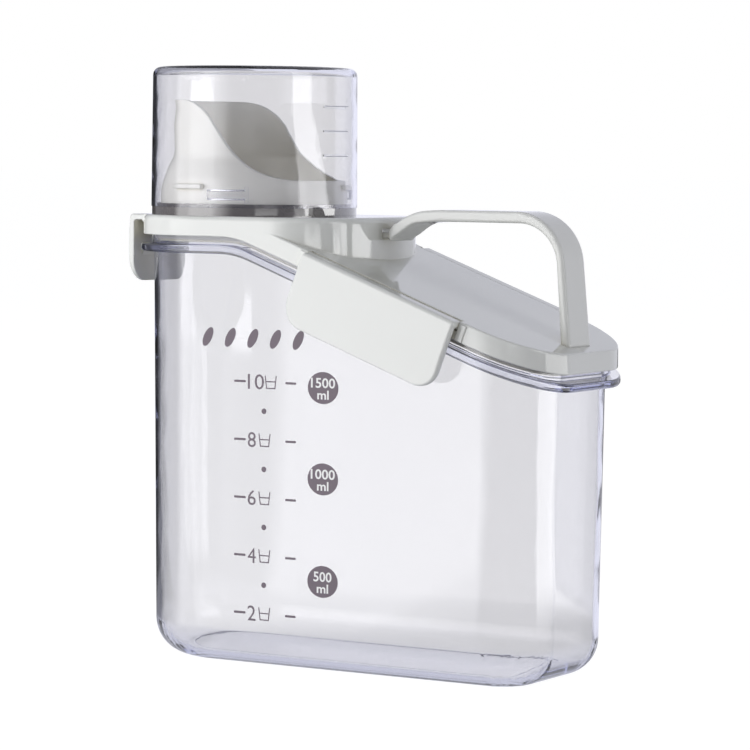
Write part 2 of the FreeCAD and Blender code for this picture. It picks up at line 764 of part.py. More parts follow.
def make_cup():
    """Measuring cup upside down, with bayonet lugs and raised marks inside."""
    corner = cup_corner_radius
    inner_corner = cup_inner_corner_radius
    bend = math.sqrt(0.5)
    rim_inner = cup_rim_radius - cup_wall
    base_inner = cup_base_radius - cup_wall
    inner_top = cup_top - cup_base_thickness
    corner_centre = V(cup_base_radius - corner, 0, cup_top - corner)
    inner_centre = V(base_inner - inner_corner, 0, inner_top - inner_corner)
    edges = [
        line(V(rim_inner, 0, cup_rim), V(cup_rim_radius, 0, cup_rim)),
        line(V(cup_rim_radius, 0, cup_rim), V(cup_base_radius, 0, cup_top - corner)),
        arc(V(cup_base_radius, 0, cup_top - corner),
            corner_centre + V(corner * bend, 0, corner * bend),
            V(cup_base_radius - corner, 0, cup_top)),
        line(V(cup_base_radius - corner, 0, cup_top), V(0, 0, cup_top)),
        line(V(0, 0, cup_top), V(0, 0, inner_top)),
        line(V(0, 0, inner_top), V(base_inner - inner_corner, 0, inner_top)),
        arc(V(base_inner - inner_corner, 0, inner_top),
            inner_centre + V(inner_corner * bend, 0, inner_corner * bend),
            V(base_inner, 0, inner_top - inner_corner)),
        line(V(base_inner, 0, inner_top - inner_corner), V(rim_inner, 0, cup_rim)),
    ]
    cup = revolve(edges)
    low = cup_rim + lug_over_rim
    extras = []
    for index in range(lug_count):
        middle = lug_direction + index * 360.0 / lug_count
        extras.append(rounded_lug(rim_inner + cup_wall / 2.0, low, middle, lug_angle))
        stop_middle = middle + (lug_angle - stop_angle) / 2.0
        extras.append(sector(
            rim_inner - lug_reach, rim_inner + cup_wall / 2.0, low - stop_extra,
            low + lug_height + stop_extra, stop_middle, stop_angle))
    for depth in mark_depths:
        height = inner_top - depth
        extras.append(sector(
            base_inner - mark_relief, base_inner + cup_wall / 2.0,
            height - mark_height / 2.0, height + mark_height / 2.0, mark_direction, mark_width_angle))
    return tidy(cup.fuse(extras))


def make_latch(width, length, inset, hook_level, ear):
    """Flip latch in its own frame; hook_level is the hook's top below the lid's top."""
    inner = inset + lid_inset + latch_gap
    outer = inner + plate_thickness
    arm_top = knuckle_radius
    arm_low = arm_top - arm_thickness
    foot = arm_top - length
    middle_z = (arm_low + foot) / 2.0
    bend = math.sqrt(0.5)
    shoulder = V(0, outer - shoulder_radius, arm_top - shoulder_radius)
    armpit = V(0, inner - armpit_radius, arm_low - armpit_radius)
    edges = [
        line(V(0, 0, arm_low), V(0, 0, arm_top)),
        line(V(0, 0, arm_top), V(0, outer - shoulder_radius, arm_top)),
        arc(V(0, outer - shoulder_radius, arm_top),
            shoulder + V(0, shoulder_radius * bend, shoulder_radius * bend),
            V(0, outer, arm_top - shoulder_radius)),
        arc(V(0, outer, arm_top - shoulder_radius), V(0, outer + plate_bow, middle_z),
            V(0, outer - plate_foot_draft, foot)),
        line(V(0, outer - plate_foot_draft, foot), V(0, inner, foot)),
        line(V(0, inner, foot), V(0, inner, arm_low - armpit_radius)),
        arc(V(0, inner, arm_low - armpit_radius),
            armpit + V(0, armpit_radius * bend, armpit_radius * bend),
            V(0, inner - armpit_radius, arm_low)),
        line(V(0, inner - armpit_radius, arm_low), V(0, 0, arm_low)),
    ]
    plate = Part.Face(Part.Wire(edges)).extrude(V(width, 0, 0))
    plate.translate(V(-width / 2.0, 0, 0))
    half = width / 2.0
    corners = [V(-half, 0, arm_top), V(half, 0, arm_top), V(half, 0, foot), V(-half, 0, foot)]
    radii = [latch_top_radius, latch_top_radius, latch_corner_radius, latch_corner_radius]
    mask = Part.Face(rounded_path(corners, radii)).extrude(V(0, 2.0 * reach, 0))
    mask.translate(V(0, -reach, 0))
    plate = plate.common(mask)
    face_edges = []
    for edge in plate.Edges:
        middle = edge.valueAt((edge.FirstParameter + edge.LastParameter) / 2.0)
        on_outline = abs(abs(middle.x) - half) < 0.01 or middle.z < foot + latch_corner_radius
        if middle.y > outer - shoulder_radius - 0.1 and on_outline:
            face_edges.append(edge)
    plate = plate.makeFillet(latch_edge_round, face_edges)
    hook_top = axis_drop - hook_level
    hook_root = inner + hook_sink
    hook_tip = inner - hook_reach
    hook_points = [
        V(0, hook_root, hook_top), V(0, hook_tip, hook_top), V(0, hook_tip, hook_top - hook_reach / 2.0),
        V(0, hook_root, hook_top - hook_height), V(0, hook_root, hook_top)]
    hook_length = width - 2.0 * hook_margin
    hook = Part.Face(Part.Wire(polyline(hook_points))).extrude(V(hook_length, 0, 0))
    hook.translate(V(-hook_length / 2.0, 0, 0))
    if ear <= 0.0:
        knuckle = rod(knuckle_radius, -half, half)
        pins = rod(pin_radius, -half - pin_length, half + pin_length)
        return tidy(plate.fuse([hook, knuckle, pins]))
    between = half - ear
    lid_radius = rim_width / 2.0 - lid_inset
    edge = Part.makeCylinder(
        lid_radius + end_arm_clearance, 2.0 * reach, V(0, inset - lid_radius, -reach))
    plate = plate.cut(edge.common(block(between, -reach, reach, -reach, reach)))
    knuckles = [rod(knuckle_radius, -half, -between), rod(knuckle_radius, between, half)]
    pins = [rod(pin_radius, -half, -between + pin_length), rod(pin_radius, between - pin_length, half)]
    return tidy(plate.fuse([hook] + knuckles + pins))


def latch_shapes():
    """The three latches in place, shut to just before the click."""
    frames = latch_frames()
    side_level = (lid_top - rim_underside) * math.cos(slope) + hook_clearance
    end_level = lid_top - rim_underside + hook_clearance
    side = make_latch(side_latch_width, side_latch_length, axis_inset, side_level, 0.0)
    end = make_latch(end_latch_width, end_latch_length, end_axis_inset, end_level, end_ear)
    return {
        "front_latch": place(side, frames["front_latch"]),
        "back_latch": place(side, frames["back_latch"]),
        "end_latch": place(end, frames["end_latch"]),
    }


def main():
    """Build and write every piece."""
    os.makedirs("parts", exist_ok=True)
    nodes = {
        "bin_body": make_bin(),
        "lid": make_lid(),
        "lid_gasket": make_gasket(),
        "handle": make_handle(),
        "pour_spout": make_spout(),
        "cup_seal": make_cup_seal(),
        "measuring_cup": make_cup(),
    }
    nodes.update(latch_shapes())
    for name, shape in nodes.items():
        write(name, shape)
    for name, frame in latch_frames().items():
        origin, axis = frame[0], frame[1]
        print("%s axis at %.4f %.4f %.4f along %.6f %.6f %.6f" % (
            name, origin.x, origin.y, origin.z, axis.x, axis.y, axis.z))
    print("cup axis x %.4f, lid top %.3f, cup rim %.3f, cup top %.3f" % (cup_x, lid_top, cup_rim, cup_top))


main()
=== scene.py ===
"""Dresses a clear food storage bin with a sloping lid, a handle, a pouring spout and a cup.

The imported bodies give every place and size. This script adds the finishes, the printed
scale on the front wall, the lines on the cup, the studio, and the camera.
"""

from __future__ import annotations

import json
import logging
import math
from collections.abc import Callable
from dataclasses import dataclass, field
from enum import Enum
from functools import reduce

import bmesh
import bpy
from mathutils import Matrix, Vector

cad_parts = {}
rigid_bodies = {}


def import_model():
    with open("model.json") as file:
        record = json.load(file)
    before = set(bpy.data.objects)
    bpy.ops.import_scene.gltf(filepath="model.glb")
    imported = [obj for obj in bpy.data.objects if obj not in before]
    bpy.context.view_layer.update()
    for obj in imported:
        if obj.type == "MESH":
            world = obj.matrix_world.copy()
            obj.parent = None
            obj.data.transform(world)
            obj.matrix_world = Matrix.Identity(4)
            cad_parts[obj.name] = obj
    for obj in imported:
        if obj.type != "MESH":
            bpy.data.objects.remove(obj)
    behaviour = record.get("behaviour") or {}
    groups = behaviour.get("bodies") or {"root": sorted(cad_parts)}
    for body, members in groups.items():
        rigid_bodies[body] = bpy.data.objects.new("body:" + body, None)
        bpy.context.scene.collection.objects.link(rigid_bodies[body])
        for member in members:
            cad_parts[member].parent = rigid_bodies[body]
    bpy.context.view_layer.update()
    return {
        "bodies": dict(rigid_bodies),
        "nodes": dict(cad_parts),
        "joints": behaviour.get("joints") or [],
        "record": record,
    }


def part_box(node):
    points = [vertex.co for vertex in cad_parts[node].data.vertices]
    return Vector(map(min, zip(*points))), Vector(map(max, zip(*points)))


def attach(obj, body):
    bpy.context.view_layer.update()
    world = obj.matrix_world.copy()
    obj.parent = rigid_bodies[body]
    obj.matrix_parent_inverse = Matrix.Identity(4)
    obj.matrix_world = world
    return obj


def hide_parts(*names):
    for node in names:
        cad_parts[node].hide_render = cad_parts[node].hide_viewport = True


LOG = logging.getLogger("food_bin")
MM = 0.001
WHITE = (1.0, 1.0, 1.0)
# The colour sockets of a Mix node share their names with its other sockets, so they go by index.
BLEND_INPUTS = (0, 6, 7)
BLEND_OUTPUT = 2
# A glossy depth below this is 0: nothing has mirrored the ray yet.
FIRST_BOUNCE = 0.5

Colour = tuple[float, float, float]
Pair = tuple[float, float]
Material = bpy.types.Material
Node = bpy.types.Node
Piece = bpy.types.Object
Socket = bpy.types.NodeSocket
Tree = bpy.types.NodeTree
Work = bmesh.types.BMesh


class Body(Enum):
    """The rigid bodies that pieces ride on."""

    BIN = "bin"
    LID = "lid_unit"
    RING = "ring"
    CUP = "cup"
    FRONT_LATCH = "front_latch"
    BACK_LATCH = "back_latch"
    END_LATCH = "end_latch"


class Slot(Enum):
    """The record's material slots."""

    CLEAR = "clear_plastic"
    LID = "lid_plastic"
    SPOUT = "spout_plastic"
    SEAL = "seal_rubber"
    GASKET = "gasket_rubber"


def direction(azimuth: float, elevation: float) -> Vector:
    """Makes a unit direction from two angles.

    Args:
        azimuth: 0 straight in front of the bin, growing towards the handle's foot, in radians.
        elevation: The angle above the level, in radians.

    Returns:
        The direction.
    """
    level = math.cos(elevation)
    return Vector((math.sin(azimuth) * level, -math.cos(azimuth) * level, math.sin(elevation)))


def add_object(name: str, data: bpy.types.ID) -> Piece:
    """Makes an object in the scene.

    Args:
        name: The object's name.
        data: Its mesh, curve, light or camera.

    Returns:
        The object.
    """
    made = bpy.data.objects.new(name, data)
    bpy.context.scene.collection.objects.link(made)
    return made


def finish_mesh(name: str, work: Work, material: Material) -> bpy.types.Mesh:
    """Turns mesh work into a mesh and frees the work.

    Args:
        name: The mesh's name.
        work: The mesh work.
        material: Its finish.

    Returns:
        The mesh.
    """
    mesh = bpy.data.meshes.new(name)
    work.to_mesh(mesh)
    work.free()
    mesh.materials.append(material)
    return mesh


def feed(tree: Tree, value: object, socket: Socket) -> None:
    """Links a socket to an input, or sets a number or a colour there.

    Args:
        tree: The node tree.
        value: A socket, a number or a colour.
        socket: The input.
    """
    if isinstance(value, Socket):
        tree.links.new(value, socket)
    elif socket.type == "RGBA":
        socket.default_value = (*value, 1.0)
    else:
        socket.default_value = value


def add_node(tree: Tree, kind: str, **settings: object) -> Node:
    """Adds a node.

    Args:
        tree: The node tree.
        kind: The node's type.
        settings: The node's own settings by name.

    Returns:
        The node.
    """
    node = tree.nodes.new(kind)
    for label, value in settings.items():
        setattr(node, label, value)
    return node


def add_group(tree: Tree, group: Tree, **values: object) -> Node:
    """Places a shared node group.

    Args:
        tree: The node tree that gets it.
        group: The group.
        values: Sockets or numbers by input name, with _ for a space.

    Returns:
        The group's node.
    """
    node = add_node(tree, "ShaderNodeGroup", node_tree=group)
    for label, value in values.items():
        feed(tree, value, node.inputs[label.replace("_", " ")])
    return node


def add_math(tree: Tree, operation: str, first: object, second: object) -> Socket:
    """Adds a math node.

    Args:
        tree: The node tree.
        operation: The node's operation.
        first: A socket or a number.
        second: A socket or a number.

    Returns:
        The result's socket.
    """
    node = add_node(tree, "ShaderNodeMath", operation=operation)
    feed(tree, first, node.inputs[0])
    feed(tree, second, node.inputs[1])
    return node.outputs["Value"]


def add_product(tree: Tree, *values: object) -> Socket:
    """Multiplies sockets and numbers."""
    return reduce(lambda first, second: add_math(tree, "MULTIPLY", first, second), values)


def add_sum(tree: Tree, *values: object) -> Socket:
    """Adds sockets and numbers up."""
    return reduce(lambda first, second: add_math(tree, "ADD", first, second), values)


def add_spread(tree: Tree, value: Socket, span: Pair, levels: Pair, smooth: bool = True) -> Socket:
    """Spreads a value between two levels.

    Args:
        tree: The node tree.
        value: The value.
        span: The value at each end.
        levels: The result at each end.
        smooth: Whether the result eases in and out.

    Returns:
        The result's socket.
    """
    way = "SMOOTHSTEP" if smooth else "LINEAR"
    node = add_node(tree, "ShaderNodeMapRange", interpolation_type=way)
    for label, number in zip(("From Min", "From Max", "To Min", "To Max"), (*span, *levels)):
        node.inputs[label].default_value = number
    tree.links.new(value, node.inputs["Value"])
    return node.outputs["Result"]


def add_blend(tree: Tree, factor: Socket, first: object, second: object) -> Socket:
    """Mixes two colours.

    Args:
        tree: The node tree.
        factor: The mix factor.
        first: The colour at 0, or its socket.
        second: The colour at 1, or its socket.

    Returns:
        The mixed colour's socket.
    """
    mix = add_node(tree, "ShaderNodeMix", data_type="RGBA")
    for index, value in zip(BLEND_INPUTS, (factor, first, second)):
        feed(tree, value, mix.inputs[index])
    return mix.outputs[BLEND_OUTPUT]


def add_tinted(tree: Tree, level: Socket, colour: Colour) -> Socket:
    """Multiplies a colour by a level.

    Args:
        tree: The node tree.
        level: The level.
        colour: The colour.

    Returns:
        The product's socket.
    """
    scale = add_node(tree, "ShaderNodeVectorMath", operation="SCALE")
    scale.inputs[0].default_value = colour
    tree.links.new(level, scale.inputs["Scale"])
    return scale.outputs["Vector"]


def new_group(name: str, inputs: dict[str, str], outputs: dict[str, str]) -> Tree:
    """Makes an empty shader node group with named sockets.

    Args:
        name: The group's name.
        inputs: Socket kind by name.
        outputs: Socket kind by name.

    Returns:
        The node tree, with its input and output nodes in place.
    """
    tree = bpy.data.node_groups.new(name, "ShaderNodeTree")
    for way, sockets in (("INPUT", inputs), ("OUTPUT", outputs)):
        for label, kind in sockets.items():
            tree.interface.new_socket(label, in_out=way, socket_type=kind)
    tree.nodes.new("NodeGroupInput").name = "in"
    tree.nodes.new("NodeGroupOutput").name = "out"
    return tree


def fresh_material(name: str) -> tuple[Material, Node]:
    """Makes a material that holds one Principled BSDF.

    Args:
        name: The material's name.

    Returns:
        The material and its Principled BSDF.
    """
    material = bpy.data.materials.new(name)
    material.use_nodes = True
    return material, material.node_tree.nodes["Principled BSDF"]


@dataclass
class NodeGroups:
    """Shader node groups that more than one finish uses, each built once."""

    samples: int = 6
    edge_facing: Pair = (0.995, 0.80)
    hollow_shade_openness: Pair = (0.25, 0.80)

    def __post_init__(self) -> None:
        """Builds the groups."""
        self.grain = self._moulded_grain()
        self.edges = self._edge_mask()
        self.hollow_shade_group = self._hollow_shade_mask("hollow_shade_mask", False)
        self.own_hollow_shade_group = self._hollow_shade_mask("own_hollow_shade_mask", True)

    def _moulded_grain(self) -> Tree:
        """Makes the skin of a moulding: fine orange peel, soft flow waves and faint mottling.

        Returns:
            The group. Its outputs are a height, and a mottling value round 0.5.
        """
        labels = ("Peel Scale", "Wave Scale", "Wave Share", "Mottle Scale")
        outputs = {"Height": "NodeSocketFloat", "Mottle": "NodeSocketFloat"}
        tree = new_group("moulded_grain", dict.fromkeys(labels, "NodeSocketFloat"), outputs)
        given, result = tree.nodes["in"].outputs, tree.nodes["out"].inputs
        place = add_node(tree, "ShaderNodeTexCoord")
        noise = {}
        for label, detail in (("Peel Scale", 2.0), ("Wave Scale", 1.0), ("Mottle Scale", 1.0)):
            texture = add_node(tree, "ShaderNodeTexNoise")
            feed(tree, place.outputs["Object"], texture.inputs["Vector"])
            feed(tree, given[label], texture.inputs["Scale"])
            feed(tree, detail, texture.inputs["Detail"])
            noise[label] = texture.outputs["Fac"]
        mix = add_node(tree, "ShaderNodeMix", data_type="FLOAT")
        feed(tree, given["Wave Share"], mix.inputs["Factor"])
        feed(tree, noise["Peel Scale"], mix.inputs["A"])
        feed(tree, noise["Wave Scale"], mix.inputs["B"])
        feed(tree, mix.outputs["Result"], result["Height"])
        feed(tree, noise["Mottle Scale"], result["Mottle"])
        return tree

    def _edge_mask(self) -> Tree:
        """Makes a mask that is 1 along sharp edges, where the finishes paint a highlight on opaque plastic
        and dark shade on clear plastic.

        Returns:
            The group. Its input is the edge's width. Its outputs are the mask and a rounded normal.
        """
        outputs = {"Mask": "NodeSocketFloat", "Normal": "NodeSocketVector"}
        tree = new_group("edge_mask", {"Width": "NodeSocketFloat"}, outputs)
        result = tree.nodes["out"].inputs
        rounded = add_node(tree, "ShaderNodeBevel", samples=self.samples)
        flat = add_node(tree, "ShaderNodeNewGeometry")
        dot = add_node(tree, "ShaderNodeVectorMath", operation="DOT_PRODUCT")
        feed(tree, tree.nodes["in"].outputs["Width"], rounded.inputs["Radius"])
        feed(tree, rounded.outputs["Normal"], dot.inputs[0])
        feed(tree, flat.outputs["Normal"], dot.inputs[1])
        mask = add_spread(tree, dot.outputs["Value"], self.edge_facing, (0.0, 1.0), smooth=False)
        feed(tree, mask, result["Mask"])
        feed(tree, rounded.outputs["Normal"], result["Normal"])
        return tree

    def _hollow_shade_mask(self, name: str, own: bool) -> Tree:
        """Makes a mask that grows inside hollows, for the painted shade there.

        Args:
            name: The group's name.
            own: Whether only the piece's own faces count.

        Returns:
            The group, with the reach of the painted shade as its input and the mask as its output.
        """
        tree = new_group(name, {"Reach": "NodeSocketFloat"}, {"Mask": "NodeSocketFloat"})
        hollow_shade = add_node(tree, "ShaderNodeAmbientOcclusion", samples=self.samples, only_local=own)
        feed(tree, tree.nodes["in"].outputs["Reach"], hollow_shade.inputs["Distance"])
        mask = add_spread(tree, hollow_shade.outputs["AO"], self.hollow_shade_openness, (1.0, 0.0))
        feed(tree, mask, tree.nodes["out"].inputs["Mask"])
        return tree


@dataclass(frozen=True)
class Skin:
    """A surface's fine relief, and the mottling that varies its colour and roughness."""

    peel_scale: float
    wave_scale: float
    wave_share: float
    mottle_scale: float
    depth: float
    mottle_span: Pair = (0.2, 0.8)

    def lay(
        self, tree: Tree, groups: NodeGroups, shader: Node, rough: Pair, normal: Socket | None = None
    ) -> Socket:
        """Gives a shader its roughness and its relief.

        Args:
            tree: The material's node tree.
            groups: The shared node groups.
            shader: The Principled BSDF.
            rough: The least and the greatest roughness.
            normal: The normal under the relief, if it isn't the surface's own.

        Returns:
            The mottling's socket.
        """
        grain = add_group(
            tree,
            groups.grain,
            Peel_Scale=self.peel_scale,
            Wave_Scale=self.wave_scale,
            Wave_Share=self.wave_share,
            Mottle_Scale=self.mottle_scale,
        )
        mottle = grain.outputs["Mottle"]
        feed(tree, add_spread(tree, mottle, self.mottle_span, rough), shader.inputs["Roughness"])
        bump = add_node(tree, "ShaderNodeBump")
        feed(tree, 1.0, bump.inputs["Strength"])
        feed(tree, self.depth, bump.inputs["Distance"])
        feed(tree, grain.outputs["Height"], bump.inputs["Height"])
        if normal is not None:
            feed(tree, normal, bump.inputs["Normal"])
        feed(tree, bump.outputs["Normal"], shader.inputs["Normal"])
        return mottle


@dataclass(frozen=True)
class OpaqueMoulding:
    """Glossy opaque plastic, as on the lid, latches, handle and spout. It has warm painted shade inside
    its hollows and a painted highlight along sharp edges.
    """

    name: str
    light: Colour
    dark: Colour
    # Painted highlight: a lighter colour laid along sharp edges.
    edge: Colour
    rough: Pair = (0.05, 0.08)
    skin: Skin = Skin(1100.0, 18.0, 0.35, 30.0, 0.005 * MM)
    ior: float = 1.5
    gloss: float = 0.9
    edge_width: float = 0.9 * MM
    # Painted shade: a warm dark colour blended in where hollows hold shade.
    hollow_shade: Colour = (0.68, 0.66, 0.56)
    hollow_shade_reach: float = 12.0 * MM
    own_hollow_shade: bool = False

    def build(self, groups: NodeGroups) -> Material:
        """Builds the material.

        Args:
            groups: The shared node groups.

        Returns:
            The material.
        """
        material, shader = fresh_material(self.name)
        tree = material.node_tree
        rim = add_group(tree, groups.edges, Width=self.edge_width)
        mottle = self.skin.lay(tree, groups, shader, self.rough, rim.outputs["Normal"])
        shade = add_blend(tree, mottle, self.dark, self.light)
        # Painted highlight along sharp edges.
        edge_highlit = add_blend(tree, rim.outputs["Mask"], shade, self.edge)
        # Painted shade: darker and warmer inside hollows, where less light reaches.
        hollow_shade_group = groups.own_hollow_shade_group if self.own_hollow_shade else groups.hollow_shade_group
        deep_shade = add_group(tree, hollow_shade_group, Reach=self.hollow_shade_reach)
        inner = add_blend(tree, deep_shade.outputs["Mask"], edge_highlit, self.hollow_shade)
        feed(tree, inner, shader.inputs["Base Color"])
        shader.inputs["IOR"].default_value = self.ior
        shader.inputs["Specular IOR Level"].default_value = self.gloss
        return material


@dataclass(frozen=True)
class ClearMoulding:
    """Clear styrene plastic: bright, a little wavy, and bluish where light runs far in it. Painted shade
    darkens it to blue along sharp edges and where it turns edge-on.
    """

    name: str
    tint: Colour = (0.875, 0.869, 0.858)
    # Painted shade: dark blue along sharp edges.
    edge_shade_tint: Colour = (0.30, 0.34, 0.66)
    # Painted shade where the wall turns edge-on.
    rim_shade_tint: Colour = (0.11, 0.13, 0.27)
    edge_width: float = 0.5 * MM
    edge_shade_share: float = 0.75
    rim_shade_span: Pair = (0.84, 0.97)
    depth_colour: Colour = (0.10, 0.17, 0.66)
    density: float = 30.0
    ior: float = 1.56
    rough: Pair = (0.0, 0.012)
    skin: Skin = Skin(300.0, 14.0, 0.97, 45.0, 0.06 * MM)
    shadow: float = 0.22

    def build(self, groups: NodeGroups) -> Material:
        """Builds the material.

        Args:
            groups: The shared node groups.

        Returns:
            The material.
        """
        material, shader = fresh_material(self.name)
        tree = material.node_tree
        self.skin.lay(tree, groups, shader, self.rough)
        # Painted shade: dark blue along sharp edges, where light bends away.
        along_edge = add_group(tree, groups.edges, Width=self.edge_width)
        edge = add_product(tree, along_edge.outputs["Mask"], self.edge_shade_share)
        wall = add_blend(tree, edge, self.tint, self.edge_shade_tint)
        # Painted shade: the wall darkens to navy as it turns edge-on.
        facing = add_node(tree, "ShaderNodeLayerWeight")
        grazing = add_spread(tree, facing.outputs["Facing"], self.rim_shade_span, (0.0, 1.0))
        feed(tree, add_blend(tree, grazing, wall, self.rim_shade_tint), shader.inputs["Base Color"])
        shader.inputs["IOR"].default_value = self.ior
        shader.inputs["Transmission Weight"].default_value = 1.0
        path = add_node(tree, "ShaderNodeLightPath").outputs
        lights = add_math(tree, "MAXIMUM", path["Is Shadow Ray"], path["Is Diffuse Ray"])
        cover = add_spread(tree, lights, (0.0, 1.0), (1.0, self.shadow), smooth=False)
        feed(tree, cover, shader.inputs["Alpha"])
        inside = add_node(tree, "ShaderNodeVolumeAbsorption")
        feed(tree, self.depth_colour, inside.inputs["Color"])
        feed(tree, self.density, inside.inputs["Density"])
        feed(tree, inside.outputs["Volume"], tree.nodes["Material Output"].inputs["Volume"])
        return material


@dataclass(frozen=True)
class Silicone:
    """Silicone, glossy as on the cup's ring or matt as on the lid's gasket."""

    name: str
    light: Colour
    dark: Colour
    rough: Pair = (0.48, 0.62)
    skin: Skin = Skin(700.0, 60.0, 0.4, 160.0, 0.03 * MM)
    coat: float = 0.0
    coat_roughness: float = 0.05
    coat_ior: float = 2.3

    def build(self, groups: NodeGroups) -> Material:
        """Builds the material.

        Args:
            groups: The shared node groups.

        Returns:
            The material.
        """
        material, shader = fresh_material(self.name)
        tree = material.node_tree
        mottle = self.skin.lay(tree, groups, shader, self.rough)
        feed(tree, add_blend(tree, mottle, self.dark, self.light), shader.inputs["Base Color"])
        shader.inputs["Coat Weight"].default_value = self.coat
        shader.inputs["Coat Roughness"].default_value = self.coat_roughness
        shader.inputs["Coat IOR"].default_value = self.coat_ior
        return material


@dataclass(frozen=True)
class PrintInkAndShade:
    """Screen printing ink, a little uneven where the mesh laid it down. It leaves no mirror image. On the
    cup's moulded lines the same finish is painted shade.
    """

    name: str
    light: Colour
    dark: Colour
    rough: Pair = (0.35, 0.55)
    skin: Skin = Skin(2500.0, 400.0, 0.5, 900.0, 0.008 * MM)

    def build(self, groups: NodeGroups) -> Material:
        """Builds the material.

        Args:
            groups: The shared node groups.

        Returns:
            The material.
        """
        material, shader = fresh_material(self.name)
        tree = material.node_tree
        mottle = self.skin.lay(tree, groups, shader, self.rough)
        feed(tree, add_blend(tree, mottle, self.dark, self.light), shader.inputs["Base Color"])
        path = add_node(tree, "ShaderNodeLightPath").outputs
        direct = add_math(tree, "LESS_THAN", path["Glossy Depth"], FIRST_BOUNCE)
        feed(tree, direct, shader.inputs["Alpha"])
        return material


@dataclass
class Finishes:
    """All the finishes of this bin."""

    groups: NodeGroups = field(default_factory=NodeGroups)

    def __post_init__(self) -> None:
        """Builds each material once."""
        # The third colour of each opaque finish is the painted highlight along its sharp edges.
        lid = OpaqueMoulding("lid_gloss", (0.735, 0.745, 0.720), (0.720, 0.730, 0.705), (0.78, 0.79, 0.77))
        handle = OpaqueMoulding(
            "handle_gloss",
            (0.735, 0.740, 0.712),
            (0.720, 0.725, 0.698),
            (0.75, 0.755, 0.73),
            edge_width=1.4 * MM,
        )
        spout = OpaqueMoulding(
            "spout_satin",
            (0.85, 0.84, 0.785),
            (0.84, 0.83, 0.775),
            (0.88, 0.87, 0.82),
            rough=(0.20, 0.26),
            # Painted shade, warm and dark, far into the spout.
            hollow_shade=(0.62, 0.57, 0.40),
            hollow_shade_reach=75.0 * MM,
            own_hollow_shade=True,
        )
        cup = ClearMoulding(
            "cup_clear", tint=(0.922, 0.9155, 0.913), density=22.0, shadow=0.08, edge_shade_share=0.35
        )
        ring = Silicone(
            "ring_silicone", (0.100, 0.088, 0.086), (0.078, 0.068, 0.067), rough=(0.22, 0.30), coat=1.0
        )
        gasket = Silicone("gasket_silicone", (0.70, 0.70, 0.69), (0.64, 0.64, 0.63))
        self.lid = lid.build(self.groups)
        self.handle = handle.build(self.groups)
        self.spout = spout.build(self.groups)
        self.bin_clear = ClearMoulding("bin_clear").build(self.groups)
        self.cup_clear = cup.build(self.groups)
        self.ring = ring.build(self.groups)
        self.gasket = gasket.build(self.groups)
        self.ink = PrintInkAndShade("scale_ink", (0.155, 0.125, 0.150), (0.120, 0.096, 0.118)).build(self.groups)
        # Painted shade: the cup's moulded lines are clear plastic, and this pale blue grey stands in for
        # the shade their relief shows.
        self.cup_mark_shade = PrintInkAndShade("cup_mark_shade", (0.68, 0.69, 0.76), (0.64, 0.65, 0.72)).build(self.groups)
        self.ink_white = PrintInkAndShade("figure_ink", (0.86, 0.86, 0.86), (0.80, 0.80, 0.80)).build(self.groups)


@dataclass
class Bench:
    """What every sub-assembly needs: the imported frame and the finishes."""

    frame: dict
    finishes: Finishes
    smooth_angle: float = math.radians(28.0)
    merge_distance: float = 0.002 * MM
    normal_weight: int = 60

    def polish(
        self,
        node: str,
        body: Body,
        material: Material,
        slot: Slot,
        refine: Callable[[Work], None] | None = None,
    ) -> None:
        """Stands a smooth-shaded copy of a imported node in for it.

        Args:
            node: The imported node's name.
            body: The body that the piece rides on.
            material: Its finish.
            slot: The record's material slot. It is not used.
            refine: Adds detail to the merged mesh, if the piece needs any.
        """
        mesh = self.frame["nodes"][node].data.copy()
        mesh.name = f"{node}_skin"
        mesh.materials.clear()
        mesh.materials.append(material)
        work = bmesh.new()
        work.from_mesh(mesh)
        bmesh.ops.remove_doubles(work, verts=work.verts, dist=self.merge_distance)
        bmesh.ops.dissolve_degenerate(work, edges=work.edges, dist=self.merge_distance)
        if refine is not None:
            refine(work)
        for face in work.faces:
            face.smooth = True
            face.material_index = 0
        for edge in work.edges:
            edge.smooth = len(edge.link_faces) == 2 and edge.calc_face_angle(0.0) < self.smooth_angle
        work.to_mesh(mesh)
        work.free()
        piece = add_object(f"{node}_skin", mesh)
        weigh = piece.modifiers.new("even_normals", "WEIGHTED_NORMAL")
        weigh.keep_sharp = True
        weigh.weight = self.normal_weight
        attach(piece, body.value)
        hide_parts(node)
        LOG.info("%s rides on %s", piece.name, body.value)

    def place(self, name: str, work: Work, body: Body, material: Material) -> Piece:
        """Makes a piece from finished mesh work.

        Args:
            name: The piece's name.
            work: The mesh work, which is freed.
            body: The body that the piece rides on.
            material: Its finish.

        Returns:
            The new piece.
        """
        mesh = finish_mesh(name, work, material)
        piece = add_object(name, mesh)
        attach(piece, body.value)
        LOG.info("%s rides on %s with %d faces", name, body.value, len(mesh.polygons))
        return piece


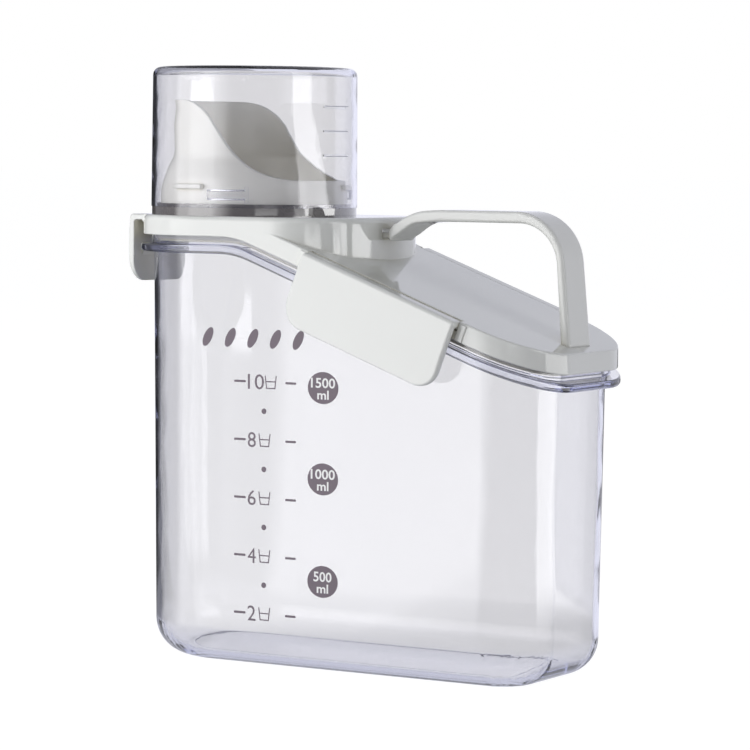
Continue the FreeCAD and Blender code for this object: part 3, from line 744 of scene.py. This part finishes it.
@dataclass
class PrintSheet:
    """Flat print: shapes laid out in XY, then wrapped on a drafted wall."""

    thickness: float = 0.06 * MM
    disc_segments: int = 48
    figure_steps: int = 3
    corner_share: float = 0.3
    corner_segments: int = 3
    sign_taper: float = 0.12
    sign_fill_rise: float = 0.05
    sign_fill_inset: float = 1.6

    def __post_init__(self) -> None:
        """Starts with an empty sheet."""
        self.work = bmesh.new()

    def _block(self, x: float, y: float, width: float, height: float) -> list[bmesh.types.BMVert]:
        """Adds a plain block.

        Args:
            x: The block's centre.
            y: The block's centre.
            width: Its width.
            height: Its height.

        Returns:
            Its vertices.
        """
        sizes = Matrix.Diagonal((width, height, self.thickness, 1.0))
        made = bmesh.ops.create_cube(self.work, size=1.0, matrix=Matrix.Translation((x, y, 0.0)) @ sizes)
        return made["verts"]

    def bar(self, x: float, y: float, width: float, height: float) -> None:
        """Adds a bar with slightly rounded ends.

        Args:
            x: The bar's centre.
            y: The bar's centre.
            width: Its width.
            height: Its height.
        """
        edges = {edge for vertex in self._block(x, y, width, height) for edge in vertex.link_edges}
        half = self.thickness / 2.0
        bmesh.ops.bevel(
            self.work,
            geom=[edge for edge in edges if abs(edge.verts[0].co.z - edge.verts[1].co.z) > half],
            offset=height * self.corner_share,
            segments=self.corner_segments,
            profile=0.5,
            affect="EDGES",
            material=-1,
        )

    def disc(self, x: float, y: float, radius: float, flatten: float = 1.0, turn: float = 0.0) -> None:
        """Adds a disc or an oval.

        Args:
            x: Its centre.
            y: Its centre.
            radius: Its radius along its long axis.
            flatten: The short axis as a share of the long one.
            turn: The long axis's angle from X, in radians.
        """
        oval = Matrix.Rotation(turn, 4, "Z") @ Matrix.Diagonal((1.0, flatten, 1.0, 1.0))
        bmesh.ops.create_cone(
            self.work,
            cap_ends=True,
            segments=self.disc_segments,
            radius1=radius,
            radius2=radius,
            depth=self.thickness,
            matrix=Matrix.Translation((x, y, 0.0)) @ oval,
        )

    def figures(
        self, text: str, x: float, y: float, width: float, height: float, weight: float = 0.0
    ) -> None:
        """Adds plain figures.

        Args:
            text: The figures.
            x: Their centre.
            y: Their centre.
            width: Their width.
            height: Their height.
            weight: How much each stroke grows on either side.
        """
        curve = bpy.data.curves.new("figures", "FONT")
        curve.body = text
        curve.size = height
        curve.extrude = self.thickness / 2.0
        curve.resolution_u = self.figure_steps
        curve.offset = weight
        holder = add_object("figures", curve)
        depsgraph = bpy.context.evaluated_depsgraph_get()
        shape = bpy.data.meshes.new_from_object(holder.evaluated_get(depsgraph))
        bpy.data.objects.remove(holder)
        bpy.data.curves.remove(curve)
        low = Vector([min(vertex.co[axis] for vertex in shape.vertices) for axis in range(3)])
        high = Vector([max(vertex.co[axis] for vertex in shape.vertices) for axis in range(3)])
        stretch = Matrix.Diagonal((width / (high.x - low.x), height / (high.y - low.y), 1.0, 1.0))
        shape.transform(stretch @ Matrix.Translation((low + high) / -2.0))
        shape.transform(Matrix.Translation((x, y, 0.0)))
        self.work.from_mesh(shape)
        bpy.data.meshes.remove(shape)

    def cup_sign(self, x: float, y: float, width: float, height: float, stroke: float) -> None:
        """Adds a small outline of a cup: an open trapezium with a line for its fill.

        Args:
            x: Its centre.
            y: Its centre.
            width: Its width.
            height: Its height.
            stroke: The line's width.
        """
        taper = self.sign_taper * width
        for side in (-1.0, 1.0):
            for vertex in self._block(x + side * (width - stroke) / 2.0, y, stroke, height):
                if vertex.co.y < y:
                    vertex.co.x -= side * taper
        self.bar(x, y - (height - stroke) / 2.0, width - 2.0 * taper, stroke)
        fill = width - taper - self.sign_fill_inset * stroke
        self.bar(x, y + self.sign_fill_rise * height, fill, stroke)


@dataclass
class FrontPrint:
    """The printed scale on the bin's front wall, in plain numbers."""

    bench: Bench
    wall_half_width: float = 39.9 * MM
    wall_draft: float = 0.01155
    lift: float = 0.02 * MM
    figure_lift: float = 0.05 * MM
    row_count: int = 5
    row_cups: int = 2
    lowest_row: float = 22.8 * MM
    row_pitch: float = 23.75 * MM
    left_tick: float = -34.4 * MM
    right_tick: float = -10.0 * MM
    tick_length: float = 5.6 * MM
    tick_height: float = 0.95 * MM
    right_tick_share: float = 0.9
    figure_height: float = 6.2 * MM
    figure_width: float = 3.9 * MM
    figure_left: float = -30.6 * MM
    sign_centre: float = -19.6 * MM
    sign_shift: float = 0.75
    sign_sizes: tuple[float, float, float] = (5.8 * MM, 5.4 * MM, 0.50 * MM)
    dot_x: float = -22.8 * MM
    dot_radius: float = 1.15 * MM
    badge_x: float = 5.3 * MM
    badge_heights: tuple[float, float, float] = (38.1 * MM, 79.7 * MM, 116.6 * MM)
    badge_volume: int = 500
    badge_radius: float = 7.2 * MM
    badge_flatten: float = 0.9
    digit_rise: float = 2.0 * MM
    digit_width: float = 2.85 * MM
    digit_height: float = 4.1 * MM
    unit_drop: float = 2.8 * MM
    unit_size: Pair = (5.4 * MM, 3.7 * MM)
    bold: float = 0.07 * MM
    motif_left: float = -50.0 * MM
    motif_right: float = -6.5 * MM
    motif_height: float = 135.4 * MM
    motif_count: int = 5
    grain_radius: float = 4.3 * MM
    grain_flatten: float = 0.46
    grain_turn: float = math.radians(62.0)

    def wrap(self, work: Work, lift: float) -> None:
        """Stands a flat sheet up and lays it on the drafted front wall.

        Args:
            work: The sheet's mesh work, in XY.
            lift: How far the sheet's middle stands off the wall.
        """
        for vertex in work.verts:
            along, up, out = vertex.co
            wall = self.wall_half_width + self.wall_draft * up
            vertex.co = Vector((along, -(wall + lift + out), up))
        bmesh.ops.recalc_face_normals(work, faces=work.faces)

    def rows(self) -> PrintSheet:
        """Lays out the rows of the cup scale, from the lowest up.

        Returns:
            The sheet.
        """
        sheet = PrintSheet()
        for row in range(self.row_count):
            height = self.lowest_row + row * self.row_pitch
            cups = str(self.row_cups * (row + 1))
            width = self.figure_width * len(cups)
            sheet.bar(self.left_tick, height, self.tick_length, self.tick_height)
            sheet.bar(self.right_tick, height, self.tick_length * self.right_tick_share, self.tick_height)
            sheet.figures(cups, self.figure_left + width / 2.0, height, width, self.figure_height)
            shift = 0.0 if len(cups) > 1 else self.figure_width * self.sign_shift
            sheet.cup_sign(self.sign_centre - shift, height, *self.sign_sizes)
            if row + 1 < self.row_count:
                sheet.disc(self.dot_x, height + self.row_pitch / 2.0, self.dot_radius)
        return sheet

    def motif(self) -> PrintSheet:
        """Lays out a row of plain grains above the scale.

        Returns:
            The sheet.
        """
        sheet = PrintSheet()
        step = (self.motif_right - self.motif_left) / (self.motif_count - 1)
        for index in range(self.motif_count):
            x = self.motif_left + index * step
            sheet.disc(x, self.motif_height, self.grain_radius, self.grain_flatten, self.grain_turn)
        return sheet

    def badges(self) -> tuple[PrintSheet, PrintSheet]:
        """Lays out the round volume marks and the light figures on them.

        Returns:
            The sheet of discs and the sheet of figures.
        """
        discs, figures = PrintSheet(), PrintSheet()
        for index, height in enumerate(self.badge_heights):
            volume = str(self.badge_volume * (index + 1))
            size = (self.digit_width * len(volume), self.digit_height)
            discs.disc(self.badge_x, height, self.badge_radius, self.badge_flatten)
            figures.figures(volume, self.badge_x, height + self.digit_rise, *size, self.bold)
            figures.figures("ml", self.badge_x, height - self.unit_drop, *self.unit_size, self.bold)
        return discs, figures

    def build(self) -> None:
        """Builds and dresses the print. The thin ink leaves no mark in what the clear walls mirror."""
        finishes = self.bench.finishes
        discs, figures = self.badges()
        layers = [
            ("scale_print", self.rows(), self.lift, finishes.ink),
            ("grain_motif_print", self.motif(), self.lift, finishes.ink),
            ("volume_badges", discs, self.lift, finishes.ink),
            ("volume_figures", figures, self.lift + self.figure_lift, finishes.ink_white),
        ]
        for name, sheet, lift, ink in layers:
            self.wrap(sheet.work, lift)
            piece = self.bench.place(name, sheet.work, Body.BIN, ink)
            piece.visible_glossy = False


@dataclass
class ClearBin:
    """The clear bin and what is printed on it."""

    bench: Bench
    foot_land: float = 0.8 * MM
    foot_step_run: float = 0.2 * MM
    foot_step: float = 0.9 * MM
    level: float = 0.01 * MM

    def cut_foot(self, work: Work) -> None:
        """Recesses the underside inside a narrow foot that runs round it.

        Args:
            work: The bin's merged mesh.
        """
        under = [face for face in work.faces if all(abs(spot.co.z) < self.level for spot in face.verts)]
        for run in (self.foot_land, self.foot_step_run):
            bmesh.ops.inset_region(
                work, faces=under, use_boundary=True, use_even_offset=True, thickness=run, depth=0.0
            )
        raised = list({vertex for face in under for vertex in face.verts})
        bmesh.ops.translate(work, verts=raised, vec=(0.0, 0.0, self.foot_step))

    def build(self) -> None:
        """Builds and dresses the bin."""
        self.bench.polish("bin_body", Body.BIN, self.bench.finishes.bin_clear, Slot.CLEAR, self.cut_foot)
        FrontPrint(self.bench).build()


@dataclass
class LidAssembly:
    """The lid with its gasket, handle and pouring spout."""

    bench: Bench
    root: float = 16.0 * MM
    root_end: float = 40.0 * MM
    root_cuts: int = 5
    root_droop: float = 1.8 * MM
    root_curve: float = 1.2
    root_floor: float = 176.6 * MM
    root_full: float = 181.0 * MM
    strap_underside: float = 183.9 * MM
    web_foot: float = 175.4 * MM
    web_start: float = 17.0 * MM
    web_end: float = 38.0 * MM
    web_shares: Pair = (0.10, 0.62)

    def droop_root(self, work: Work) -> None:
        """Bends the strap down towards its root and draws in the web under it.

        Args:
            work: The handle's merged mesh.
        """
        low, high = self.web_shares
        for vertex in work.verts:
            place = vertex.co
            if self.web_start < place.x < self.web_end and place.z < self.strap_underside:
                rise = max(0.0, (place.z - self.web_foot) / (self.strap_underside - self.web_foot))
                place.x = self.web_start + (place.x - self.web_start) * (low + (high - low) * rise)
        span = self.root_end - self.root
        for index in range(self.root_cuts):
            cut = (self.root_end - span * index / self.root_cuts, 0, 0)
            whole = [*work.verts, *work.edges, *work.faces]
            bmesh.ops.bisect_plane(
                work, geom=whole, dist=self.bench.merge_distance, plane_co=cut, plane_no=(1, 0, 0)
            )
        for vertex in work.verts:
            place = vertex.co
            if place.x < self.root_end and place.z > self.root_floor:
                share = min(1.0, (self.root_end - place.x) / span)
                hold = min(1.0, (place.z - self.root_floor) / (self.root_full - self.root_floor))
                place.z -= self.root_droop * share**self.root_curve * hold

    def build(self) -> None:
        """Builds and dresses the lid assembly."""
        finishes, polish = self.bench.finishes, self.bench.polish
        polish("lid", Body.LID, finishes.lid, Slot.LID)
        polish("lid_gasket", Body.LID, finishes.gasket, Slot.GASKET)
        polish("handle", Body.LID, finishes.handle, Slot.LID, self.droop_root)
        polish("pour_spout", Body.LID, finishes.spout, Slot.SPOUT)


@dataclass
class LatchSet:
    """The three flip latches. Each is its body's only node and has its name."""

    bench: Bench
    bodies: tuple[Body, ...] = (Body.FRONT_LATCH, Body.BACK_LATCH, Body.END_LATCH)

    def build(self) -> None:
        """Dresses the latches."""
        for body in self.bodies:
            self.bench.polish(body.value, body, self.bench.finishes.lid, Slot.LID)


@dataclass
class CupAssembly:
    """The measuring cup and the silicone ring under it."""

    bench: Bench
    packed_base: float = 3.0 * MM
    real_base: float = 1.9 * MM
    inner_corner: float = 2.0 * MM
    inner_radius: float = 41.4 * MM
    slack: float = 0.1 * MM
    mark_heights: tuple[float, ...] = (230.1 * MM, 219.9 * MM, 209.6 * MM)
    mark_start: float = math.radians(74.0)
    mark_turn: float = math.radians(21.0)
    mark_width: float = 0.42 * MM
    mark_lift: float = 0.02 * MM
    mark_relief: float = 0.12 * MM
    mark_steps: int = 12

    def __post_init__(self) -> None:
        """Reads the cup's place from the frame."""
        low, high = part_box("measuring_cup")
        self.axis_x = (low[0] + high[0]) / 2.0
        self.radius, self.top = high[1], high[2]

    def thin_base(self, work: Work) -> None:
        """Raises the cup's inner base, so that its closed end is as thin as its wall.

        Args:
            work: The cup's merged mesh.
        """
        inside_top = self.top - self.packed_base
        moved = [
            vertex
            for vertex in work.verts
            if inside_top - self.inner_corner - self.slack < vertex.co.z < inside_top + self.slack
            and math.hypot(vertex.co.x - self.axis_x, vertex.co.y) < self.inner_radius
        ]
        bmesh.ops.translate(work, verts=moved, vec=(0.0, 0.0, self.packed_base - self.real_base))

    def add_mark(self, work: Work, height: float) -> None:
        """Adds one line of the cup's moulded scale, as a thin bar bent round the cup; its colour is
        painted shade.

        Args:
            work: The mesh work that gets the bar.
            height: The line's height.
        """
        # A cell with a side of 1 is sized to the line's section and stood upright at its start.
        axis = Vector((self.axis_x, 0.0, height))
        middle = self.radius + self.mark_lift + self.mark_relief / 2.0
        turned = Matrix.Translation(axis) @ Matrix.Rotation(self.mark_start, 4, "Z")
        upright = Matrix.Translation((0.0, -middle, 0.0)) @ Matrix.Rotation(math.radians(90.0), 4, "Y")
        section = Matrix.Diagonal((self.mark_width, self.mark_relief, 1.0, 1.0))
        made = bmesh.ops.create_grid(
            work, x_segments=1, y_segments=1, size=0.5, matrix=turned @ upright @ section
        )
        corners = made["verts"]
        edges = list({edge for vertex in corners for edge in vertex.link_edges})
        bmesh.ops.spin(
            work,
            geom=[*corners, *edges, *corners[0].link_faces],
            cent=axis,
            axis=(0.0, 0.0, 1.0),
            angle=self.mark_turn,
            steps=self.mark_steps,
            use_duplicate=False,
        )

    def build(self) -> None:
        """Dresses the cup and its ring and adds the cup's scale."""
        finishes = self.bench.finishes
        marks = bmesh.new()
        for height in self.mark_heights:
            self.add_mark(marks, height)
        bmesh.ops.recalc_face_normals(marks, faces=marks.faces)
        # The lines carry painted shade.
        self.bench.place("cup_scale_lines", marks, Body.CUP, finishes.cup_mark_shade)
        self.bench.polish("cup_seal", Body.RING, finishes.ring, Slot.SEAL)
        self.bench.polish("measuring_cup", Body.CUP, finishes.cup_clear, Slot.CLEAR, self.thin_base)


@dataclass(frozen=True)
class SoftBox:
    """One rectangular soft light, placed by the direction in which the bin sees it.

    Angles are in degrees and lengths in metres.
    """

    name: str
    azimuth: float
    elevation: float
    distance: float
    width: float
    height: float
    radiance: float

    def hang(self, target: Vector) -> None:
        """Hangs the light, facing the bin. Gloss mirrors the studio's glow group in its place.

        Args:
            target: The point that it faces.
        """
        way = direction(math.radians(self.azimuth), math.radians(self.elevation))
        data = bpy.data.lights.new(self.name, "AREA")
        data.shape = "RECTANGLE"
        data.size = self.width
        data.size_y = self.height
        data.energy = self.radiance * math.pi * self.width * self.height
        lamp = add_object(self.name, data)
        lamp.location = target + way * self.distance
        lamp.rotation_mode = "QUATERNION"
        lamp.rotation_quaternion = (-way).to_track_quat("-Z", "Y")
        lamp.visible_camera = False
        lamp.visible_glossy = False
        lamp.visible_transmission = False


@dataclass
class MirroredStudio:
    """What gloss and the insides of clear walls mirror: soft lights, a backdrop, a flag and a dim room.

    Angles are in degrees. An azimuth is 0 straight in front and grows towards the handle's foot.
    """

    dim_colour: Colour = (0.93, 0.94, 1.05)
    dim_level: float = 0.26
    dim_high_level: float = 0.60
    dim_high_heights: Pair = (5.0, 14.0)
    dark_level: float = 0.04
    dark_span: Pair = (-145.0, -115.0)
    backdrop_levels: Pair = (1.0, 0.95)
    backdrop_heights: Pair = (4.0, 24.0)
    backdrop_span: Pair = (-37.0, 45.0)
    key_level: float = 1.40
    key_span: Pair = (-65.0, -3.0)
    key_softness: Pair = (5.0, 13.0)
    key_core_level: float = 0.60
    key_core_span: Pair = (-46.0, -14.0)
    key_top: Pair = (27.0, 33.0)
    strip_levels: Pair = (3.6, 2.2)
    strip_foot: Pair = (-42.0, -25.0)
    strip_high: Pair = (75.0, 99.0)
    strip_low: Pair = (91.0, 135.0)
    strip_bend: Pair = (-0.8, 1.5)
    strip_softness: float = 1.0
    low_levels: tuple[float, ...] = (3.6, 4.8)
    low_spans: tuple[Pair, ...] = ((33.0, 58.0), (78.0, 90.0))
    low_softness: Pair = (1.5, 1.0)
    low_rise: Pair = (-1.5, -1.0)
    low_fall: Pair = (-3.6, -2.8)
    flag_level: float = 0.05
    flag_span: Pair = (-31.0, -6.0)
    flag_height: Pair = (-4.6, -3.6)
    softness: Pair = (3.0, 3.0)

    @staticmethod
    def _band(tree: Tree, value: Socket, span: Pair, softness: Pair) -> Socket:
        """Makes a mask that is 1 between two angles.

        Args:
            tree: The node tree.
            value: The angle's socket, in radians.
            span: The two angles.
            softness: Half the width of the soft edge at each angle.

        Returns:
            The mask's socket.
        """
        low, high, low_soft, high_soft = (math.radians(angle) for angle in (*span, *softness))
        rises = add_spread(tree, value, (low - low_soft, low + low_soft), (0.0, 1.0))
        falls = add_spread(tree, value, (high - high_soft, high + high_soft), (1.0, 0.0))
        return add_product(tree, rises, falls)

    @staticmethod
    def _climb(tree: Tree, height: Socket, angles: Pair, levels: Pair, smooth: bool = True) -> Socket:
        """Spreads a level between two elevations.

        Args:
            tree: The node tree.
            height: The direction's upward part.
            angles: The two elevations.
            levels: The level at each of them.
            smooth: Whether the level eases in and out.

        Returns:
            The level's socket.
        """
        low, high = (math.sin(math.radians(angle)) for angle in angles)
        return add_spread(tree, height, (low, high), levels, smooth)

    def _strip(self, tree: Tree, azimuth: Socket, height: Socket) -> Socket:
        """Makes the strip light. Its two sides lean, so it is wider low down, and brighter there.

        Args:
            tree: The node tree.
            azimuth: The direction's azimuth.
            height: The direction's upward part.

        Returns:
            The level's socket.
        """
        rise = self._climb(tree, height, self.strip_bend, (0.0, 1.0), smooth=False)
        sides = []
        for low, high in zip(self.strip_low, self.strip_high):
            lean = add_product(tree, rise, math.radians(high - low))
            side = add_sum(tree, lean, math.radians(low))
            sides.append(add_math(tree, "SUBTRACT", azimuth, side))
        soft = math.radians(self.strip_softness)
        starts = add_spread(tree, sides[0], (-soft, soft), (0.0, 1.0))
        ends = add_spread(tree, sides[1], (-soft, soft), (1.0, 0.0))
        foot = self._climb(tree, height, self.strip_foot, (0.0, 1.0))
        low_level, high_level = self.strip_levels
        extra = add_product(tree, rise, high_level - low_level)
        extra = add_sum(tree, extra, low_level - high_level)
        extra = add_product(tree, extra, self._climb(tree, height, self.low_fall, (0.0, 1.0)))
        return add_product(tree, starts, ends, foot, add_sum(tree, extra, high_level))

    def build(self) -> Tree:
        """Builds the group.

        Returns:
            The group, with a direction as its input and a colour as its output.
        """
        tree = new_group("studio_glow", {"Direction": "NodeSocketVector"}, {"Color": "NodeSocketColor"})
        unit = add_node(tree, "ShaderNodeVectorMath", operation="NORMALIZE")
        split = add_node(tree, "ShaderNodeSeparateXYZ")
        feed(tree, tree.nodes["in"].outputs["Direction"], unit.inputs[0])
        feed(tree, unit.outputs["Vector"], split.inputs["Vector"])
        sideways, behind, height = split.outputs["X"], split.outputs["Y"], split.outputs["Z"]
        azimuth = add_math(tree, "ARCTAN2", sideways, add_product(tree, behind, -1.0))
        rear = add_math(tree, "ARCTAN2", sideways, behind)
        below_top = self._climb(tree, height, self.key_top, (1.0, 0.0))
        near, far = (level - self.dim_level for level in self.backdrop_levels)
        lift = self._climb(tree, height, self.backdrop_heights, (near, far))
        black = (self.flag_level - self.backdrop_levels[0], 0.0)
        flag = self._band(tree, rear, self.flag_span, self.softness)
        flag = add_product(tree, flag, self._climb(tree, height, self.flag_height, black))
        behind_bin = self._band(tree, rear, self.backdrop_span, self.softness)
        backdrop = add_product(tree, behind_bin, add_sum(tree, lift, flag))
        gain = self.dim_high_level - self.dim_level
        above = self._climb(tree, height, self.dim_high_heights, (0.0, gain))
        above = add_product(tree, above, add_math(tree, "SUBTRACT", 1.0, behind_bin))
        dark = self._band(tree, azimuth, self.dark_span, self.softness)
        dark = add_product(tree, dark, self.dark_level - self.dim_level)
        dim = add_sum(tree, backdrop, above, dark, self.dim_level)
        key = self._band(tree, azimuth, self.key_span, self.key_softness)
        core = self._band(tree, azimuth, self.key_core_span, self.softness)
        key, core = add_product(tree, key, self.key_level), add_product(tree, core, self.key_core_level)
        strip = self._strip(tree, azimuth, height)
        rises = self._climb(tree, height, self.low_rise, (1.0, 0.0))
        below = add_product(tree, rises, self._climb(tree, height, self.low_fall, (0.0, 1.0)))
        for span, level in zip(self.low_spans, self.low_levels):
            low_light = self._band(tree, azimuth, span, self.low_softness)
            strip = add_sum(tree, strip, add_product(tree, low_light, level, below))
        bright = add_product(tree, add_sum(tree, key, core, strip), below_top)
        total = add_node(tree, "ShaderNodeVectorMath", operation="ADD")
        feed(tree, add_tinted(tree, dim, self.dim_colour), total.inputs[0])
        feed(tree, add_tinted(tree, bright, WHITE), total.inputs[1])
        feed(tree, total.outputs["Vector"], tree.nodes["out"].inputs["Color"])
        return tree


@dataclass
class Studio:
    """Floor, room light and soft boxes."""

    target: Vector = field(default_factory=lambda: Vector((0.0, 0.0, 120.0 * MM)))
    floor_size: float = 60.0
    floor_colour: Colour = (0.86, 0.86, 0.87)
    floor_lift: float = 0.78
    floor_level: float = 1.21
    horizon_level: float = 0.46
    zenith_level: float = 0.24
    zenith_height: float = 0.9
    room_colour: Colour = (0.97, 0.98, 1.03)
    eye_drop: Vector = field(default_factory=lambda: Vector((0.0, 0.0, -190.0 * MM)))
    card_start: Pair = (110.0 * MM, 190.0 * MM)
    near_colour: Colour = (0.74, 0.75, 0.84)
    clear_bounces: int = 24
    glossy_bounces: int = 12
    open_bounces: int = 16
    boxes: tuple[SoftBox, ...] = (
        SoftBox("key_box", -50.0, 10.0, 1.6, 2.0, 0.86, 4.9),
        SoftBox("strip_box", 88.0, 8.0, 1.5, 0.62, 1.0, 2.4),
    )

    @staticmethod
    def _rays(tree: Tree) -> tuple[Socket, Socket]:
        """Sorts the rays that reach the room or the floor.

        Args:
            tree: The node tree.

        Returns:
            A socket that is 1 for a ray that looks straight there, from the camera or through plastic, and
            one that is 1 for a ray that a glossy surface or a clear wall has mirrored on the way.
        """
        path = add_node(tree, "ShaderNodeLightPath").outputs
        straight = add_math(tree, "LESS_THAN", path["Glossy Depth"], FIRST_BOUNCE)
        through = add_product(tree, path["Is Transmission Ray"], straight)
        looks = add_math(tree, "MAXIMUM", path["Is Camera Ray"], through)
        either = add_math(tree, "MAXIMUM", path["Is Glossy Ray"], path["Is Transmission Ray"])
        return looks, add_product(tree, either, add_math(tree, "SUBTRACT", 1.0, looks))

    def room(self, glow: Tree) -> None:
        """Makes the room: white to the camera and through plastic, dimmer as light and in gloss.

        Args:
            glow: The group for what gloss mirrors.
        """
        world = bpy.data.worlds.new("studio_room")
        world.use_nodes = True
        bpy.context.scene.world = world
        tree = world.node_tree
        way = add_node(tree, "ShaderNodeTexCoord").outputs["Generated"]
        split = add_node(tree, "ShaderNodeSeparateXYZ")
        feed(tree, way, split.inputs["Vector"])
        levels = (self.horizon_level, self.zenith_level)
        ambient = add_spread(tree, split.outputs["Z"], (0.0, self.zenith_height), levels)
        ambient = add_tinted(tree, ambient, self.room_colour)
        mirrored = add_group(tree, glow, Direction=way)
        looks, mirrors = self._rays(tree)
        light = add_blend(tree, mirrors, ambient, mirrored.outputs["Color"])
        feed(tree, add_blend(tree, looks, light, WHITE), tree.nodes["Background"].inputs["Color"])

    @staticmethod
    def _mix_shaders(tree: Tree, factor: Socket, first: Socket, second: Socket) -> Socket:
        """Mixes two shaders.

        Args:
            tree: The node tree.
            factor: The mix factor.
            first: The shader at 0.
            second: The shader at 1.

        Returns:
            The mixed shader's socket.
        """
        mix = add_node(tree, "ShaderNodeMixShader")
        for socket, value in zip(mix.inputs, (factor, first, second)):
            feed(tree, value, socket)
        return mix.outputs["Shader"]

    def floor(self, glow: Tree) -> None:
        """Makes the pale floor, which keeps the object's shadow and fades into the white room.

        Args:
            glow: The group for what gloss mirrors. The floor mirrors it low down, as a card there would.
        """
        work = bmesh.new()
        bmesh.ops.create_grid(work, x_segments=1, y_segments=1, size=self.floor_size / 2.0)
        material, shader = fresh_material("floor_paper")
        floor = add_object("floor", finish_mesh("floor", work, material))
        tree = material.node_tree
        feed(tree, self.floor_colour, shader.inputs["Base Color"])
        feed(tree, 1.0, shader.inputs["Roughness"])
        feed(tree, 0.0, shader.inputs["Specular IOR Level"])
        place = add_node(tree, "ShaderNodeTexCoord").outputs["Object"]
        drop = add_node(tree, "ShaderNodeVectorMath", operation="ADD")
        feed(tree, place, drop.inputs[0])
        feed(tree, self.eye_drop, drop.inputs[1])
        mirrored = add_group(tree, glow, Direction=drop.outputs["Vector"])
        reach = add_node(tree, "ShaderNodeVectorMath", operation="LENGTH")
        feed(tree, place, reach.inputs[0])
        away = add_spread(tree, reach.outputs["Value"], self.card_start, (0.0, 1.0))
        shown = add_blend(tree, away, self.near_colour, mirrored.outputs["Color"])
        card = add_node(tree, "ShaderNodeEmission")
        feed(tree, shown, card.inputs["Color"])
        paper = add_node(tree, "ShaderNodeEmission")
        feed(tree, self.floor_level, paper.inputs["Strength"])
        looks, mirrors = self._rays(tree)
        under = self._mix_shaders(tree, mirrors, shader.outputs["BSDF"], card.outputs["Emission"])
        seen = add_product(tree, looks, self.floor_lift)
        over = self._mix_shaders(tree, seen, under, paper.outputs["Emission"])
        feed(tree, over, tree.nodes["Material Output"].inputs["Surface"])

    def build(self) -> None:
        """Builds the studio, and lets light run far enough inside clear walls."""
        glow = MirroredStudio().build()
        self.room(glow)
        self.floor(glow)
        for box in self.boxes:
            box.hang(self.target)
        scene = bpy.context.scene
        scene.view_settings.view_transform = "Standard"
        scene.cycles.max_bounces = self.clear_bounces
        scene.cycles.glossy_bounces = self.glossy_bounces
        scene.cycles.transmission_bounces = self.clear_bounces
        scene.cycles.transparent_max_bounces = self.open_bounces


@dataclass
class PhotoCamera:
    """The camera at the photograph's angle."""

    azimuth: float = math.radians(30.449)
    elevation: float = math.radians(3.714)
    roll: float = math.radians(0.578)
    distance: float = 1394.6 * MM
    aim_right: float = 2.652 * MM
    aim_up: float = 119.66 * MM
    frame_shift: float = 2.1 * MM
    focal_pixels: float = 3377.5
    picture_pixels: float = 750.0
    sensor: float = 36.0
    clip: Pair = (0.01, 200.0)

    def build(self) -> None:
        """Places the camera."""
        back = direction(self.azimuth, self.elevation)
        right = Vector((math.cos(self.azimuth), math.sin(self.azimuth), 0.0))
        up = back.cross(right)
        rolled_right = right * math.cos(self.roll) + up * math.sin(self.roll)
        rolled_up = up * math.cos(self.roll) - right * math.sin(self.roll)
        aim = right * self.aim_right + Vector((self.frame_shift, 0.0, self.aim_up))
        data = bpy.data.cameras.new("photo_camera")
        data.sensor_width = self.sensor
        data.lens = self.focal_pixels / self.picture_pixels * self.sensor
        data.clip_start, data.clip_end = self.clip
        camera = add_object("photo_camera", data)
        turned = Matrix((rolled_right, rolled_up, back)).transposed().to_4x4()
        camera.matrix_world = Matrix.Translation(aim + back * self.distance) @ turned
        bpy.context.scene.camera = camera


def corners(bounds: tuple[Vector, Vector]) -> list[list[float]]:
    """Turns two corners into plain lists."""
    return [list(corner) for corner in bounds]


def main() -> None:
    """Builds the camera, the studio and every piece."""
    logging.basicConfig(level=logging.INFO, format="%(name)s: %(message)s")
    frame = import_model()
    PhotoCamera().build()
    Studio().build()
    bench = Bench(frame, Finishes())
    ClearBin(bench).build()
    LidAssembly(bench).build()
    LatchSet(bench).build()
    CupAssembly(bench).build()


if __name__ == "__main__":
    main()
